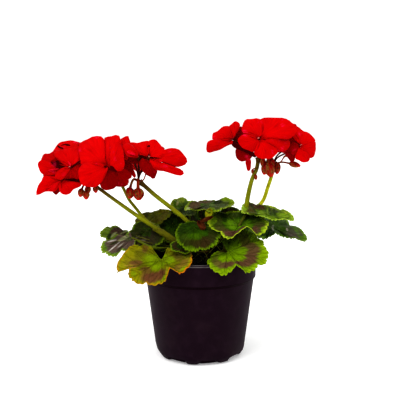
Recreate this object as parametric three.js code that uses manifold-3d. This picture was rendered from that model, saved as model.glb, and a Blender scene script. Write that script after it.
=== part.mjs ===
// A red zonal geranium in a round nursery pot.
// Millimetres, +Z up. The origin is the middle of the pot's base, and the plant is seen from -Y.
import * as THREE from "three";
import { mergeVertices } from "three/addons/utils/BufferGeometryUtils.js";
import Module from "manifold-3d";

const wasm = await Module();
wasm.setup();

// Pot
const POT_HEIGHT = 104;
const RIM_RADIUS = 57.6;
const BAND_RADIUS = 57;
const BAND_HEIGHT = 22;
const WALL_TOP_RADIUS = 55.3;
const WALL_FOOT_RADIUS = 46.3;
const WALL_FOOT_HEIGHT = 12;
const BASE_RADIUS = 42.5;
const POT_WALL = 1.5;
const POT_FLOOR = 2;
const FEET = 8;
const FIRST_FOOT = -10; // degrees from the front, towards +X
const NOTCH_DEPTH = 3;
const DRAIN_RADIUS = 3;
const DRAIN_CIRCLE = 33;

// Plant
const SOIL_HEIGHT = 93;
const GAP = 0.35; // clearance between solids that touch on the real plant
const FINEST = 0.03; // smaller slivers left by a cut are merged
const LEAF_THICKNESS = 1;
const PETAL_THICKNESS = 0.9;
const TOOTH_CUT = 0.05;
const PETALS = 5;
const PETIOLE_RADIUS = 1.25;
const PEDICEL_RADIUS = 0.8;

const rad = THREE.MathUtils.degToRad;
const vec = (p) => new THREE.Vector3(...p);

// Main stems: the points that each passes, with its radius at the foot and at the tip.
const STEMS = {
  left: {
    through: [[4, 8, 80], [-14, 4, 93], [-19, 0, 106], [-29, -7, 120], [-46, -10, 132]],
    foot: 4.2,
    tip: 3,
  },
  centre: {
    through: [[4, 8, 80], [9, 14, 94], [8, 10, 112], [-3, -2, 131]],
    foot: 3.8,
    tip: 2.6,
  },
  right: {
    through: [[4, 8, 80], [19, 4, 93], [27, 3, 107], [38, 4, 127], [46, 5, 141]],
    foot: 4.2,
    tip: 3,
  },
};

// Angles of the notches between the lobes of a leaf, from one side of its stalk to the other.
const evenly = (lobes, gap) =>
  Array.from({ length: lobes + 1 }, (_, i) => (180 - gap) * ((2 * i) / lobes - 1));
const TEETH = { 5: 4, 6: 3 }; // on each lobe of a leaf with so many lobes
const RING = 2; // points on a leaf's inner ring for each lobe

// Leaves. at: where the stalk meets the blade. points: the way the tip points, seen from above, in
// degrees from +X. leans: the way the upper face leans, by how many degrees. long: from stalk to tip.
// lobes: the angles of the notches. reach: length of each lobe, as a share of long, else all alike.
// cup: how far the edge stands up. pleat: how deep the lobes are folded. broad: reach of the blade beside
// its stalk. cut: depth of the notches, or of each notch. stem: its stem and the share along it, where
// its stalk springs. via: a point that the stalk passes.
const LEAVES = [
  {
    name: "front_left", at: [-36.5, -49, 109], points: -78, leans: [-96, 27], long: 41,
    lobes: [-160, -118, -78, -21, 15, 88, 160], reach: [0.86, 1.04, 0.94, 0.8, 0.77, 0.6],
    cut: [0.5, 0.02, 0.26, 0.12, 0.42, 0.03, 0.5], cup: -0.02, pleat: 0.05, broad: 1, stem: ["left", 0.42],
  },
  {
    name: "front_right", at: [26.5, -43, 114.2], points: -26, leans: [-92, 29], long: 39,
    lobes: [-154, -106, -44, 22, 82, 140], reach: [0.54, 0.8, 0.98, 1, 0.86],
    cut: [0.6, 0, 0.4, 0.03, 0.04, 0.4], cup: 0.03, pleat: 0.05, broad: 1, stem: ["right", 0.3],
  },
  {
    name: "rim_right", at: [45, -14, 110.5], points: -40, leans: [-40, 22], long: 20, lobes: evenly(5, 18),
    cup: 0.02, pleat: 0.05, broad: 0.8, cut: 0.12, stem: ["right", 0.22],
  },
  {
    name: "centre", at: [-2, -33, 131.4], points: -78, leans: [-90, 34], long: 24, lobes: evenly(5, 16),
    cup: -0.02, pleat: 0.05, broad: 0.85, cut: 0.14, stem: ["centre", 0.62],
  },
  {
    name: "middle_right", at: [38.3, -26, 137.3], points: -95, leans: [-88, 22], long: 30,
    lobes: [-168, -99, -44, 38, 82, 125, 165], reach: [0.92, 1.02, 0.82, 0.96, 0.95, 0.87],
    cut: [0.3, 0.1, 0.1, 0.36, 0.1, 0.1, 0.3], cup: 0.1, pleat: 0.06, broad: 1, stem: ["right", 0.9],
  },
  {
    name: "upper_right", at: [65, -12, 147.6], points: -85, leans: [-35, 14], long: 28,
    lobes: [-168, -110, -60, -10, 45, 100, 165], reach: [0.75, 0.84, 0.76, 0.82, 1.02, 0.76],
    cut: [0.3, 0.08, 0.08, 0.08, 0.08, 0.08, 0.3], cup: 0.12, pleat: 0.05, broad: 1, stem: ["right", 0.95],
  },
  {
    name: "far_right", at: [77.2, 20, 128], points: -12, leans: [-42, 24], long: 37,
    lobes: [-140, -70, -32, -5, 24, 76, 130], reach: [0.66, 0.5, 0.74, 0.98, 0.86, 0.5],
    cut: [0.3, 0.14, 0.1, 0.1, 0.06, 0.1, 0.3], cup: -0.04, pleat: 0.04, broad: 1, stem: ["right", 0.8],
  },
  {
    name: "top_centre", at: [9.2, 0, 153.4], points: -100, leans: [-130, 8], long: 27,
    lobes: [-165, -105, -55, 10, 70, 112, 165], reach: [0.95, 0.95, 0.7, 0.7, 0.9, 0.95],
    cut: [0.3, 0.12, 0.2, 0.2, 0.2, 0.12, 0.3], cup: 0.02, pleat: 0.07, broad: 1, stem: ["centre", 0.98],
  },
  {
    name: "top_left", at: [-16, 24, 148], points: 130, leans: [-90, 16], long: 18, lobes: evenly(5, 14),
    cup: 0.04, pleat: 0.08, broad: 0.9, cut: 0.14, stem: ["centre", 0.6],
  },
  {
    name: "olive_left", at: [-50.6, 24, 137.9], points: -60, leans: [-150, 26], long: 20.5,
    lobes: [-166, -100, -40, 10, 70, 160], reach: [0.9, 0.82, 0.9, 0.96, 0.86],
    cut: [0.3, 0.1, 0.1, 0.1, 0.1, 0.3], cup: 0.02, pleat: 0.05, broad: 1, stem: ["left", 0.9],
  },
  {
    name: "low_left", at: [-67.7, -14, 122.6], points: -157, leans: [-110, 37], long: 33,
    lobes: [-95, -45, -18, 12, 38, 95], reach: [0.5, 0.8, 1, 0.86, 0.52],
    cut: [0.4, 0.1, 0.1, 0.1, 0.12, 0.4], cup: 0, pleat: 0.07, broad: 1, stem: ["left", 0.55],
    via: [-46, -26, 115],
  },
  {
    name: "far_left", at: [-78.4, 8, 120.1], points: 165, leans: [-100, 30], long: 23,
    lobes: [-92, -56, -10, 13, 52, 110], reach: [0.5, 0.96, 1.03, 0.9, 0.7],
    cut: [0.4, 0.14, 0.05, 0.2, 0.1, 0.3], cup: 0.02, pleat: 0.06, broad: 1, stem: ["left", 0.7],
  },
  {
    name: "inner_left", at: [-53.7, -2.5, 126.1], points: -150, leans: [-95, 32], long: 19,
    lobes: [-160, -96, -32, 32, 96, 160], reach: [0.58, 0.95, 1, 0.95, 0.7],
    cut: [0.3, 0.1, 0.1, 0.1, 0.1, 0.3], cup: 0.03, pleat: 0.07, broad: 1, stem: ["left", 0.8],
  },
  {
    name: "shade_left", at: [-28.3, 18, 131], points: -110, leans: [-84, 40], long: 23,
    lobes: [-164, -98, -33, 33, 98, 164], reach: [0.65, 0.72, 1, 1.05, 0.7],
    cut: [0.3, 0.1, 0.12, 0.12, 0.1, 0.3], cup: 0.02, pleat: 0.05, broad: 1, stem: ["centre", 0.75],
  },
  {
    name: "young_front", at: [-17, -40, 119], points: -70, leans: [-85, 24], long: 13, lobes: evenly(5, 16),
    cup: 0.08, pleat: 0.05, broad: 0.85, cut: 0.14, stem: ["centre", 0.4],
  },
  {
    name: "inner_right", at: [21.7, 18, 141.5], points: -80, leans: [-90, 32], long: 20, lobes: evenly(5, 16),
    cup: 0.02, pleat: 0.06, broad: 0.85, cut: 0.14, stem: ["right", 0.6],
  },
  {
    name: "inner_back", at: [1.8, 40, 137.1], points: -95, leans: [-88, 34], long: 23, lobes: evenly(5, 16),
    cup: 0.02, pleat: 0.06, broad: 0.85, cut: 0.14, stem: ["centre", 0.6],
  },
  {
    name: "back_left", at: [-53, 40, 116], points: 140, leans: [-150, 12], long: 28, lobes: evenly(5, 16),
    cup: 0.03, pleat: 0.06, broad: 0.8, cut: 0.14, stem: ["left", 0.35],
  },
  {
    name: "back_centre", at: [-3, 61, 115], points: 92, leans: [95, 24], long: 27, lobes: evenly(5, 16),
    cup: 0.04, pleat: 0.06, broad: 0.8, cut: 0.14, stem: ["centre", 0.35],
  },
  {
    name: "back_right", at: [50, 44, 116], points: 45, leans: [50, 24], long: 28, lobes: evenly(5, 16),
    cup: 0.03, pleat: 0.06, broad: 0.8, cut: 0.14, stem: ["right", 0.4],
  },
  {
    name: "back_upper_right", at: [42, 40, 139], points: 75, leans: [80, 16], long: 22, lobes: evenly(5, 14),
    cup: 0.08, pleat: 0.07, broad: 0.85, cut: 0.14, stem: ["right", 0.6],
  },
  {
    name: "back_upper_left", at: [-37, 53, 135], points: 120, leans: [110, 16], long: 22,
    lobes: evenly(5, 14),
    cup: 0.08, pleat: 0.07, broad: 0.85, cut: 0.14, stem: ["centre", 0.7],
  },
];

// Flower heads. hub: where the flower stalks of one head spring from. stalk: the points between the stem
// and the hub. florets: the middle, the way it faces (degrees from +X, degrees up), its turn, the length
// of its petals and how far they stand forward, in degrees. buds: the middle, the way it hangs, its size.
const HEADS = [
  {
    name: "left_outer", hub: [-107, -12, 177], radius: [2.1, 1.7],
    stalk: [[-43, -11, 131], [-56, -13, 140], [-84, -13, 160]],
    florets: [
      [[-130, -20, 207], [-120, 58], 10, 23, 14],
      [[-137, -30, 195], [-128, 24], 40, 20, 14],
      [[-132, -36, 185], [-115, -30], 20, 24, 10],
      [[-94, -54, 198], [-125, 14], 25, 26, 26],
      [[-108, -30, 207], [-95, 58], 30, 23, 14],
      [[-138, 8, 196], [170, 35], 15, 22, 14],
      [[-120, 22, 203], [125, 55], 35, 23, 14],
      [[-108, 32, 190], [95, 12], 0, 24, 14],
    ],
    buds: [
      [[-116, -26, 168], [-120, -70], 1.1],
      [[-110.5, -18, 171], [-70, -75], 1],
      [[-101.5, -20, 172], [-60, -70], 0.9],
    ],
  },
  {
    name: "left_back", hub: [-88, 14, 182], radius: [1.3, 1.2],
    stalk: [[-47, -9, 136], [-56, -2, 146], [-76, 8, 168]],
    florets: [
      [[-84, -26, 206], [-88, 40], 0, 22, 14],
      [[-79, -36, 190], [-85, -16], 30, 20, 10],
      [[-98, 48, 200], [105, 35], 20, 24, 14],
      [[-74, 44, 198], [60, 38], 45, 24, 14],
      [[-87, 14, 211], [-90, 86], 10, 22, 14],
    ],
    buds: [],
  },
  {
    name: "left_inner", hub: [-61, -2, 179], radius: [2.1, 1.8],
    stalk: [[-5, -5, 131], [-14, -7, 138.5], [-31, -6, 153.5]],
    florets: [
      [[-67, -32, 207], [-105, 36], 20, 18, 20],
      [[-50, -20, 204], [-75, 36], 60, 21, 14],
      [[-62, 14, 206], [80, 72], 30, 20, 14],
      [[-35, 4, 203], [-15, 46], 10, 24, 14],
      [[-53, -26, 192], [-75, -38], 45, 14, 20],
    ],
    buds: [[[-69, -10, 166], [-110, -80], 1.1], [[-60.5, -12, 165], [-60, -75], 1.35]],
  },
  {
    name: "right_main", hub: [59, 0, 200], radius: [2.4, 2],
    stalk: [[46, 3, 140], [48, 2, 158], [52.5, 1, 179], [57, 0, 190]],
    florets: [
      [[56.5, -38, 220.5], [-97, 22], 47, 26, 12],
      [[27, -16, 219], [-155, 34], 0, 22, 24],
      [[98, -24, 215], [-55, 16], 35, 20, 12],
      [[83, -8, 223], [-60, 40], 0, 22, 14],
      [[66, 13, 224], [80, 74], 30, 24, 14],
      [[46, 28, 214], [120, 50], 10, 23, 14],
      [[76, 36, 209], [75, 25], 20, 23, 14],
      [[41, -18, 206], [-130, -35], 10, 13, 20],
    ],
    buds: [[[47, -14, 194], [-110, -80], 0.9], [[53, -10, 188], [-100, -80], 0.7]],
  },
  {
    name: "right_young", hub: [75, 5, 195], radius: [1.7, 1.5],
    stalk: [[49, 9, 142], [65, 22, 154], [70, 14, 174]],
    florets: [
      [[104, 16, 207], [15, 10], 0, 19, 14],
      [[95, 38, 206], [60, 22], 30, 20, 14],
    ],
    buds: [
      [[64, -8, 189], [-120, -75], 1.15],
      [[69.5, -14, 188], [-80, -75], 1.4],
      [[70, -3, 192], [-80, -75], 1.2],
      [[77, -4, 190], [-40, -70], 1.1],
      [[94.5, -8, 195], [-20, -10], 1.1],
    ],
  },
];

// Solids

// A closed mesh as a manifold solid.
function solid(geometry) {
  const bare = geometry.clone();
  for (const name of Object.keys(bare.attributes)) {
    if (name !== "position") bare.deleteAttribute(name);
  }
  const merged = mergeVertices(bare, 1e-4);
  return new wasm.Manifold(
    new wasm.Mesh({
      numProp: 3,
      vertProperties: merged.attributes.position.array,
      triVerts: new Uint32Array(merged.index.array),
    }),
  );
}

// A manifold solid as a three.js geometry.
function geometryOf(made) {
  const mesh = made.getMesh();
  const geometry = new THREE.BufferGeometry();
  geometry.setAttribute("position", new THREE.BufferAttribute(mesh.vertProperties, 3));
  geometry.setIndex(new THREE.BufferAttribute(mesh.triVerts, 1));
  geometry.computeVertexNormals();
  return geometry;
}

const joined = (solids) => solids.reduce((all, one) => all.add(one)).simplify(FINEST);

// The largest body of a solid, without the scraps that a cut leaves.
function largestBody(made) {
  const bodies = made.simplify(FINEST).decompose();
  return bodies.reduce((best, body) => (body.volume() > best.volume() ? body : best));
}

// A round rod along a curve. radii holds [share of the length, radius] pairs, one for each ring.
function rod(curve, radii, sides, extra = 0) {
  const rings = radii.length;
  const start = curve.getPointAt(0);
  const position = [];
  const index = [];
  let side = new THREE.Vector3(0, 1, 0);
  radii.forEach(([share, radius]) => {
    const along = curve.getTangentAt(share);
    const middle = curve.getPointAt(share);
    side = side.clone().addScaledVector(along, -side.dot(along)).normalize();
    const other = along.clone().cross(side);
    for (let k = 0; k < sides; k++) {
      const turn = (2 * Math.PI * k) / sides;
      const out = side.clone().multiplyScalar(Math.cos(turn)).addScaledVector(other, Math.sin(turn));
      position.push(...middle.clone().addScaledVector(out, radius + extra).toArray());
    }
  });
  const end = curve.getPointAt(1);
  position.push(...start.toArray(), ...end.toArray());
  for (let ring = 0; ring + 1 < rings; ring++) {
    for (let k = 0; k < sides; k++) {
      const a = ring * sides + k;
      const b = ring * sides + ((k + 1) % sides);
      index.push(a, b, b + sides, a, b + sides, a + sides);
    }
  }
  const first = rings * sides;
  for (let k = 0; k < sides; k++) {
    const next = (k + 1) % sides;
    index.push(first, next, k);
    index.push(first + 1, (rings - 1) * sides + k, (rings - 1) * sides + next);
  }
  const geometry = new THREE.BufferGeometry();
  geometry.setAttribute("position", new THREE.Float32BufferAttribute(position, 3));
  geometry.setIndex(index);
  return geometry;
}

// Ring radii for a plain tapered rod.
const taper = (from, to, steps) =>
  Array.from({ length: steps + 1 }, (_, i) => [i / steps, from + ((to - from) * i) / steps]);

// A thin blade from rings of points round a middle, given by surface(share out, angle) in its own frame.
// The ring counts each divide the next. A closed blade goes all the way round, and an open one has a notch.
function blade(surface, angles, shares, closed, thickness, frame) {
  const rings = angles.map((list, i) => list.map((angle) => surface(shares[i], angle)));
  const points = [surface(0, 0), ...rings.flat()];
  const starts = rings.map((_, i) => 1 + rings.slice(0, i).reduce((n, ring) => n + ring.length, 0));
  const at = (ring, k) => starts[ring] + (closed ? k % rings[ring].length : k);
  const top = [];
  const edges = (ring) => rings[ring].length - (closed ? 0 : 1);
  for (let k = 0; k < edges(0); k++) top.push([0, at(0, k), at(0, k + 1)]);
  for (let ring = 0; ring + 1 < rings.length; ring++) {
    const each = edges(ring + 1) / edges(ring);
    for (let k = 0; k < edges(ring); k++) {
      const turnover = Math.floor(each / 2);
      for (let m = 0; m < each; m++) {
        const inner = m < turnover ? k : k + 1;
        top.push([at(ring, inner), at(ring + 1, k * each + m), at(ring + 1, k * each + m + 1)]);
      }
      top.push([at(ring, k), at(ring + 1, k * each + turnover), at(ring, k + 1)]);
    }
  }
  const last = rings.length - 1;
  const border = Array.from({ length: edges(last) + (closed ? 0 : 1) }, (_, k) => at(last, k));
  if (!closed) {
    for (let ring = last - 1; ring >= 0; ring--) border.push(at(ring, edges(ring)));
    border.push(0);
    for (let ring = 0; ring < last; ring++) border.push(at(ring, 0));
  }
  const count = points.length;
  const position = [];
  for (const lift of [thickness / 2, -thickness / 2]) {
    for (const [x, y, z] of points) {
      position.push(...new THREE.Vector3(x, y, z + lift).applyMatrix4(frame).toArray());
    }
  }
  const index = [];
  for (const [a, b, c] of top) index.push(a, b, c, a + count, c + count, b + count);
  border.forEach((a, i) => {
    const b = border[(i + 1) % border.length];
    index.push(a, a + count, b + count, a, b + count, b);
  });
  const geometry = new THREE.BufferGeometry();
  geometry.setAttribute("position", new THREE.Float32BufferAttribute(position, 3));
  geometry.setIndex(index);
  return geometry;
}

// The direction that lies the given way, in degrees from +X, and stands up by so many degrees.
function facing([way, up]) {
  const [a, b] = [rad(way), rad(up)];
  return new THREE.Vector3(Math.cos(b) * Math.cos(a), Math.cos(b) * Math.sin(a), Math.sin(b));
}

// The frame of a blade: its middle, its face's direction, and the direction that it points along.
function bladeFrame(at, face, points) {
  const z = face.clone().normalize();
  const x = points.clone().addScaledVector(z, -points.dot(z)).normalize();
  const y = z.clone().cross(x);
  return new THREE.Matrix4().makeBasis(x, y, z).setPosition(at);
}

// Pot: turned to its profile, with drain notches pressed into the foot between eight feet.
function notchShare(angle) {
  const step = 360 / FEET;
  const from = THREE.MathUtils.euclideanModulo(angle - FIRST_FOOT, step) / step;
  return THREE.MathUtils.smoothstep(0.5 - Math.abs(from - 0.5), 0.12, 0.34);
}

function potShell() {
  const bandFoot = POT_HEIGHT - BAND_HEIGHT;
  const inner = (radius) => radius - POT_WALL;
  const profile = [
    [0, 0],
    [BASE_RADIUS - 9, 0],
    [BASE_RADIUS, 0.8],
    [WALL_FOOT_RADIUS - 1.2, 5],
    [WALL_FOOT_RADIUS, WALL_FOOT_HEIGHT],
    [WALL_TOP_RADIUS, bandFoot - 1.2],
    [BAND_RADIUS, bandFoot],
    [BAND_RADIUS, POT_HEIGHT - 3],
    [RIM_RADIUS, POT_HEIGHT - 2.6],
    [RIM_RADIUS, POT_HEIGHT - 0.6],
    [inner(BAND_RADIUS), POT_HEIGHT],
    [inner(BAND_RADIUS), bandFoot + 0.8],
    [inner(WALL_TOP_RADIUS), bandFoot - 1.2],
    [inner(WALL_FOOT_RADIUS) - 4.2, POT_FLOOR + NOTCH_DEPTH + 1],
    [0, POT_FLOOR + NOTCH_DEPTH],
  ].map(([x, y]) => new THREE.Vector2(x, y));
  const geometry = new THREE.LatheGeometry(profile, 4 * FEET).rotateX(Math.PI / 2);
  const place = geometry.attributes.position;
  for (let i = 0; i < place.count; i++) {
    const [x, y, z] = [place.getX(i), place.getY(i), place.getZ(i)];
    const radius = Math.hypot(x, y);
    const angle = THREE.MathUtils.radToDeg(Math.atan2(x, -y));
    const low = THREE.MathUtils.clamp(1 - z / WALL_FOOT_HEIGHT, 0, 1);
    if (radius < BASE_RADIUS - 8 || low === 0 || radius < inner(BASE_RADIUS) - 3 - z) continue;
    const press = NOTCH_DEPTH * notchShare(angle) * (z < 4 ? 1 : 0.5 * low);
    const shrink = 1 - press / radius;
    place.setXYZ(i, x * shrink, y * shrink, z < 4 ? z + press : z);
  }
  return geometry;
}

function makePot() {
  const drains = Array.from({ length: FEET }, (_, k) => {
    const angle = rad(FIRST_FOOT + ((k + 0.5) * 360) / FEET);
    const drain = new THREE.CylinderGeometry(DRAIN_RADIUS, DRAIN_RADIUS, 20, 6).rotateX(Math.PI / 2);
    drain.translate(DRAIN_CIRCLE * Math.sin(angle), -DRAIN_CIRCLE * Math.cos(angle), 0);
    return solid(drain);
  });
  return solid(potShell()).subtract(joined(drains));
}

// Soil: fills the pot to below the rim, with a gently uneven top.
function makeSoil() {
  const wall = (height) => {
    const top = POT_HEIGHT - BAND_HEIGHT - 1.2;
    const share = (height - WALL_FOOT_HEIGHT) / (top - WALL_FOOT_HEIGHT);
    return THREE.MathUtils.lerp(WALL_FOOT_RADIUS, WALL_TOP_RADIUS, share) - POT_WALL - GAP;
  };
  const floor = POT_FLOOR + NOTCH_DEPTH + 1 + GAP;
  const shoulder = POT_HEIGHT - BAND_HEIGHT - 3;
  const profile = [
    [0, floor],
    [WALL_FOOT_RADIUS - POT_WALL - 5.2, floor + 0.6],
    [wall(shoulder) - 0.3, shoulder],
    [wall(shoulder) - 0.3, SOIL_HEIGHT - 1.5],
    [wall(shoulder) - 8, SOIL_HEIGHT],
    [0.5 * BASE_RADIUS, SOIL_HEIGHT + 1],
    [0, SOIL_HEIGHT + 0.5],
  ].map(([x, y]) => new THREE.Vector2(x, y));
  const geometry = new THREE.LatheGeometry(profile, 20).rotateX(Math.PI / 2);
  const place = geometry.attributes.position;
  for (let i = 0; i < place.count; i++) {
    const [x, y, z] = [place.getX(i), place.getY(i), place.getZ(i)];
    const inside = Math.hypot(x, y) < wall(shoulder) - 4;
    if (z > SOIL_HEIGHT - 1 && inside) place.setZ(i, z + Math.sin(0.21 * x + 1) * Math.cos(0.17 * y));
  }
  return solid(geometry);
}

// Leaves
function leafSurface(leaf, order) {
  const lobes = leaf.lobes.length - 1;
  const reachOf = (lobe) => (leaf.reach ? leaf.reach[THREE.MathUtils.clamp(lobe, 0, lobes - 1)] : 1);
  return (share, at) => {
    const lobe = Math.min(Math.floor(at), lobes - 1);
    const notch = Math.round(at);
    const angle = rad(THREE.MathUtils.lerp(leaf.lobes[lobe], leaf.lobes[lobe + 1], at - lobe));
    const side = Math.abs(angle) / Math.PI;
    const atNotch = (reachOf(notch - 1) + reachOf(notch)) / 2;
    const cut = Array.isArray(leaf.cut) ? leaf.cut[notch] : leaf.cut;
    const outline =
      (1 - (1 - leaf.broad) * side ** 1.5) *
      THREE.MathUtils.lerp(atNotch, reachOf(lobe), Math.sin(Math.PI * at) ** 2) *
      (1 - cut * (1 - Math.abs(Math.sin(Math.PI * at)) ** 0.7)) *
      (1 - TOOTH_CUT * (1 - Math.abs(Math.sin(Math.PI * TEETH[lobes] * at))));
    const out = share * outline;
    const height =
      leaf.cup * out ** 1.6 +
      leaf.pleat * out ** 2 * Math.cos(2 * Math.PI * at) +
      0.05 * out ** 2 * Math.cos(2 * angle + 2.4 * order);
    const reach = leaf.long * out;
    return [reach * Math.cos(angle), reach * Math.sin(angle), leaf.long * height];
  };
}

function leafFrame(leaf) {
  const [way, lean] = leaf.leans;
  return bladeFrame(vec(leaf.at), facing([way, 90 - lean]), facing([leaf.points, 0]));
}

function makeLeaf(leaf, order, extra = 0) {
  const lobes = leaf.lobes.length - 1;
  const steps = (perLobe) => Array.from({ length: lobes * perLobe + 1 }, (_, i) => i / perLobe);
  const rings = [steps(RING), steps(2 * TEETH[lobes])];
  const thickness = LEAF_THICKNESS + extra;
  const grown = { ...leaf, long: leaf.long + extra / 2 };
  return solid(blade(leafSurface(grown, order), rings, [0.52, 1], false, thickness, leafFrame(leaf)));
}

// Stems
const stemCurve = (stem) => new THREE.CatmullRomCurve3(stem.through.map(vec));

function petioleCurve(leaf) {
  const [stemName, share] = leaf.stem;
  const start = stemCurve(STEMS[stemName]).getPointAt(share);
  const frame = leafFrame(leaf);
  const x = new THREE.Vector3().setFromMatrixColumn(frame, 0);
  const z = new THREE.Vector3().setFromMatrixColumn(frame, 2);
  const end = vec(leaf.at).addScaledVector(z, -LEAF_THICKNESS / 2 - GAP);
  if (leaf.via) return new THREE.CatmullRomCurve3([start, vec(leaf.via), end]);
  const reach = start.distanceTo(end);
  const out = end.clone().sub(start).setZ(0).normalize();
  const leave = start.clone().addScaledVector(out, 0.35 * reach).add(new THREE.Vector3(0, 0, 0.06 * reach));
  const arrive = end.clone().addScaledVector(z, -0.22 * reach).addScaledVector(x, -0.16 * reach);
  return new THREE.CubicBezierCurve3(start, leave, arrive, end);
}

function makeStems(extra = 0) {
  const rods = Object.values(STEMS).map((stem) =>
    solid(rod(stemCurve(stem), taper(stem.foot, stem.tip, 5), 7, extra)),
  );
  const petioles = LEAVES.map((leaf) =>
    solid(rod(petioleCurve(leaf), taper(PETIOLE_RADIUS + 0.35, PETIOLE_RADIUS, 4), 4, extra)),
  );
  return joined([...rods, ...petioles]);
}

// Flower heads
function floretFrame([at, faces, turn]) {
  const face = facing(faces);
  const level = new THREE.Vector3(-face.y, face.x, 0).normalize();
  return bladeFrame(vec(at), face, level.applyAxisAngle(face, rad(turn)));
}

function floretSurface([, , , length, forward], order) {
  return (share, angle) => {
    const petal = Math.abs(Math.cos((PETALS / 2) * rad(angle)));
    const out = share * (0.66 + 0.34 * petal ** 0.6);
    const reach = length * out * Math.cos(rad(forward));
    const wave = 0.08 * out ** 2 * Math.cos(2 * rad(angle) + 2.4 * order);
    const height = out * Math.sin(rad(forward)) - 0.1 * out ** 3 + wave;
    return [reach * Math.cos(rad(angle)), reach * Math.sin(rad(angle)), length * height];
  };
}

function makeFloret(floret, order, extra = 0) {
  const angles = (perPetal) =>
    Array.from({ length: PETALS * perPetal }, (_, i) => (i * 360) / (PETALS * perPetal));
  const surface = floretSurface(floret, order);
  const thickness = PETAL_THICKNESS + extra;
  return solid(blade(surface, [angles(1), angles(6)], [0.45, 1], true, thickness, floretFrame(floret)));
}

function pedicel(head, at, face) {
  const hub = vec(head.hub);
  const end = at.clone().addScaledVector(face, -PETAL_THICKNESS / 2 - GAP);
  const reach = hub.distanceTo(end);
  const leave = hub.clone().add(new THREE.Vector3(0, 0, 0.3 * reach));
  const arrive = end.clone().addScaledVector(face, -0.4 * reach);
  return new THREE.CubicBezierCurve3(hub, leave, arrive, end);
}

function floretStalk(head, floret, extra) {
  const curve = pedicel(head, vec(floret[0]), facing(floret[1]));
  const calyx = 9 / curve.getLength();
  const radii = [
    [0, PEDICEL_RADIUS + 0.2],
    [0.33, PEDICEL_RADIUS],
    [1 - calyx, 1],
    [1 - 0.5 * calyx, 1.5],
    [1, 2.6],
  ];
  return solid(rod(curve, radii, 4, extra));
}

function budStalk(head, [middle, hangs, size], extra) {
  const hub = vec(head.hub);
  const way = facing(hangs);
  const half = 5.5 * size;
  const tip = vec(middle).addScaledVector(way, half);
  const neck = vec(middle).addScaledVector(way, -half);
  const reach = hub.distanceTo(neck);
  const out = neck.clone().sub(hub).setZ(0).normalize();
  const curve = new THREE.CatmullRomCurve3([
    hub,
    hub.clone().addScaledVector(out, 0.5 * reach).add(new THREE.Vector3(0, 0, 2)),
    neck,
    vec(middle),
    tip,
  ]);
  const length = curve.getLength();
  const at = (back) => 1 - (back * half) / length;
  const radii = [
    [0, PEDICEL_RADIUS],
    [0.5 * at(2), PEDICEL_RADIUS],
    [at(2), PEDICEL_RADIUS + 0.2],
    [at(1.4), 2.6 * size],
    [at(0.6), 2.8 * size],
    [1, 0.6 * size],
  ];
  return solid(rod(curve, radii, 5, extra));
}

const headCurve = (head) => new THREE.CatmullRomCurve3([...head.stalk, head.hub].map(vec));

function makeHeadStalk(head, extra = 0) {
  const [foot, tip] = head.radius;
  const peduncle = solid(rod(headCurve(head), taper(foot, tip, 6), 6, extra));
  const hub = solid(new THREE.IcosahedronGeometry(tip + 1 + extra, 0).translate(...head.hub));
  const florets = head.florets.map((floret) => floretStalk(head, floret, extra));
  const buds = head.buds.map((bud) => budStalk(head, bud, extra));
  return joined([peduncle, hub, ...florets, ...buds]);
}

// Assembly
const plant = new THREE.Group();

function add(name, shape, colour, roughness) {
  const material = new THREE.MeshStandardMaterial({ color: colour, roughness, metalness: 0 });
  const mesh = new THREE.Mesh(geometryOf(shape), material);
  mesh.name = name;
  plant.add(mesh);
}

const stems = makeStems();
const stemsGrown = makeStems(GAP);
const stalks = HEADS.map((head) => makeHeadStalk(head));
const stalksGrown = joined(HEADS.map((head) => makeHeadStalk(head, GAP)));

add("pot", makePot(), 0x1a0f18, 0.45);
add("soil", makeSoil().subtract(stemsGrown), 0x14100d, 1);
const grownLeaves = joined(LEAVES.map((leaf, i) => makeLeaf(leaf, i, 2 * GAP)));
add("stems", largestBody(stems.subtract(grownLeaves)), 0x6f7a1e, 0.6);
LEAVES.forEach((leaf, i) => add(`leaf_${leaf.name}`, makeLeaf(leaf, i), 0x4c8a12, 0.55));
HEADS.forEach((head, i) => {
  add(`stalk_${head.name}`, largestBody(stalks[i].subtract(stemsGrown)), 0x6d5a1c, 0.6);
});
let before = stalksGrown;
HEADS.forEach((head) => {
  const florets = head.florets.map((floret, k) => makeFloret(floret, k));
  const bodies = joined(florets).subtract(before).simplify(FINEST).decompose();
  bodies.filter((body) => body.volume() > 150).forEach((body, k) => {
    add(`petals_${head.name}_${k + 1}`, body, 0xe00505, 0.5);
  });
  before = joined([before, ...head.florets.map((floret, k) => makeFloret(floret, k, 2 * GAP))]);
});

export default plant;
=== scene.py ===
import math
import random

import bpy
from mathutils import Matrix, Vector, noise


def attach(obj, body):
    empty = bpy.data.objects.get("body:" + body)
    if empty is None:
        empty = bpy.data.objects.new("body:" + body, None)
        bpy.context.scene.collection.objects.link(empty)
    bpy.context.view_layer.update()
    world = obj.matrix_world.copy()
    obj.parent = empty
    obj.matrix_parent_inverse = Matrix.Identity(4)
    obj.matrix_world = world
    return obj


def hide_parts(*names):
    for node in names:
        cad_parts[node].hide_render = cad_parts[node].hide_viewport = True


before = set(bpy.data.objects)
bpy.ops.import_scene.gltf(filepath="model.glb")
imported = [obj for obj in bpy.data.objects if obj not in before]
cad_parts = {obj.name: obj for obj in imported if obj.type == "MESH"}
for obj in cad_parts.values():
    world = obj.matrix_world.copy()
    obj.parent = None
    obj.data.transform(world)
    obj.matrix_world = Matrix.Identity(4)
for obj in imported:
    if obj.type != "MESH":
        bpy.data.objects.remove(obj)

bpy.ops.object.select_all(action="DESELECT")
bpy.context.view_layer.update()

# A red zonal geranium in a dark nursery pot. Sizes are in millimetres, as in the part's source.
MM = 0.001
FULL_TURN = 2 * math.pi

# ---- Plain sums ----


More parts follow.
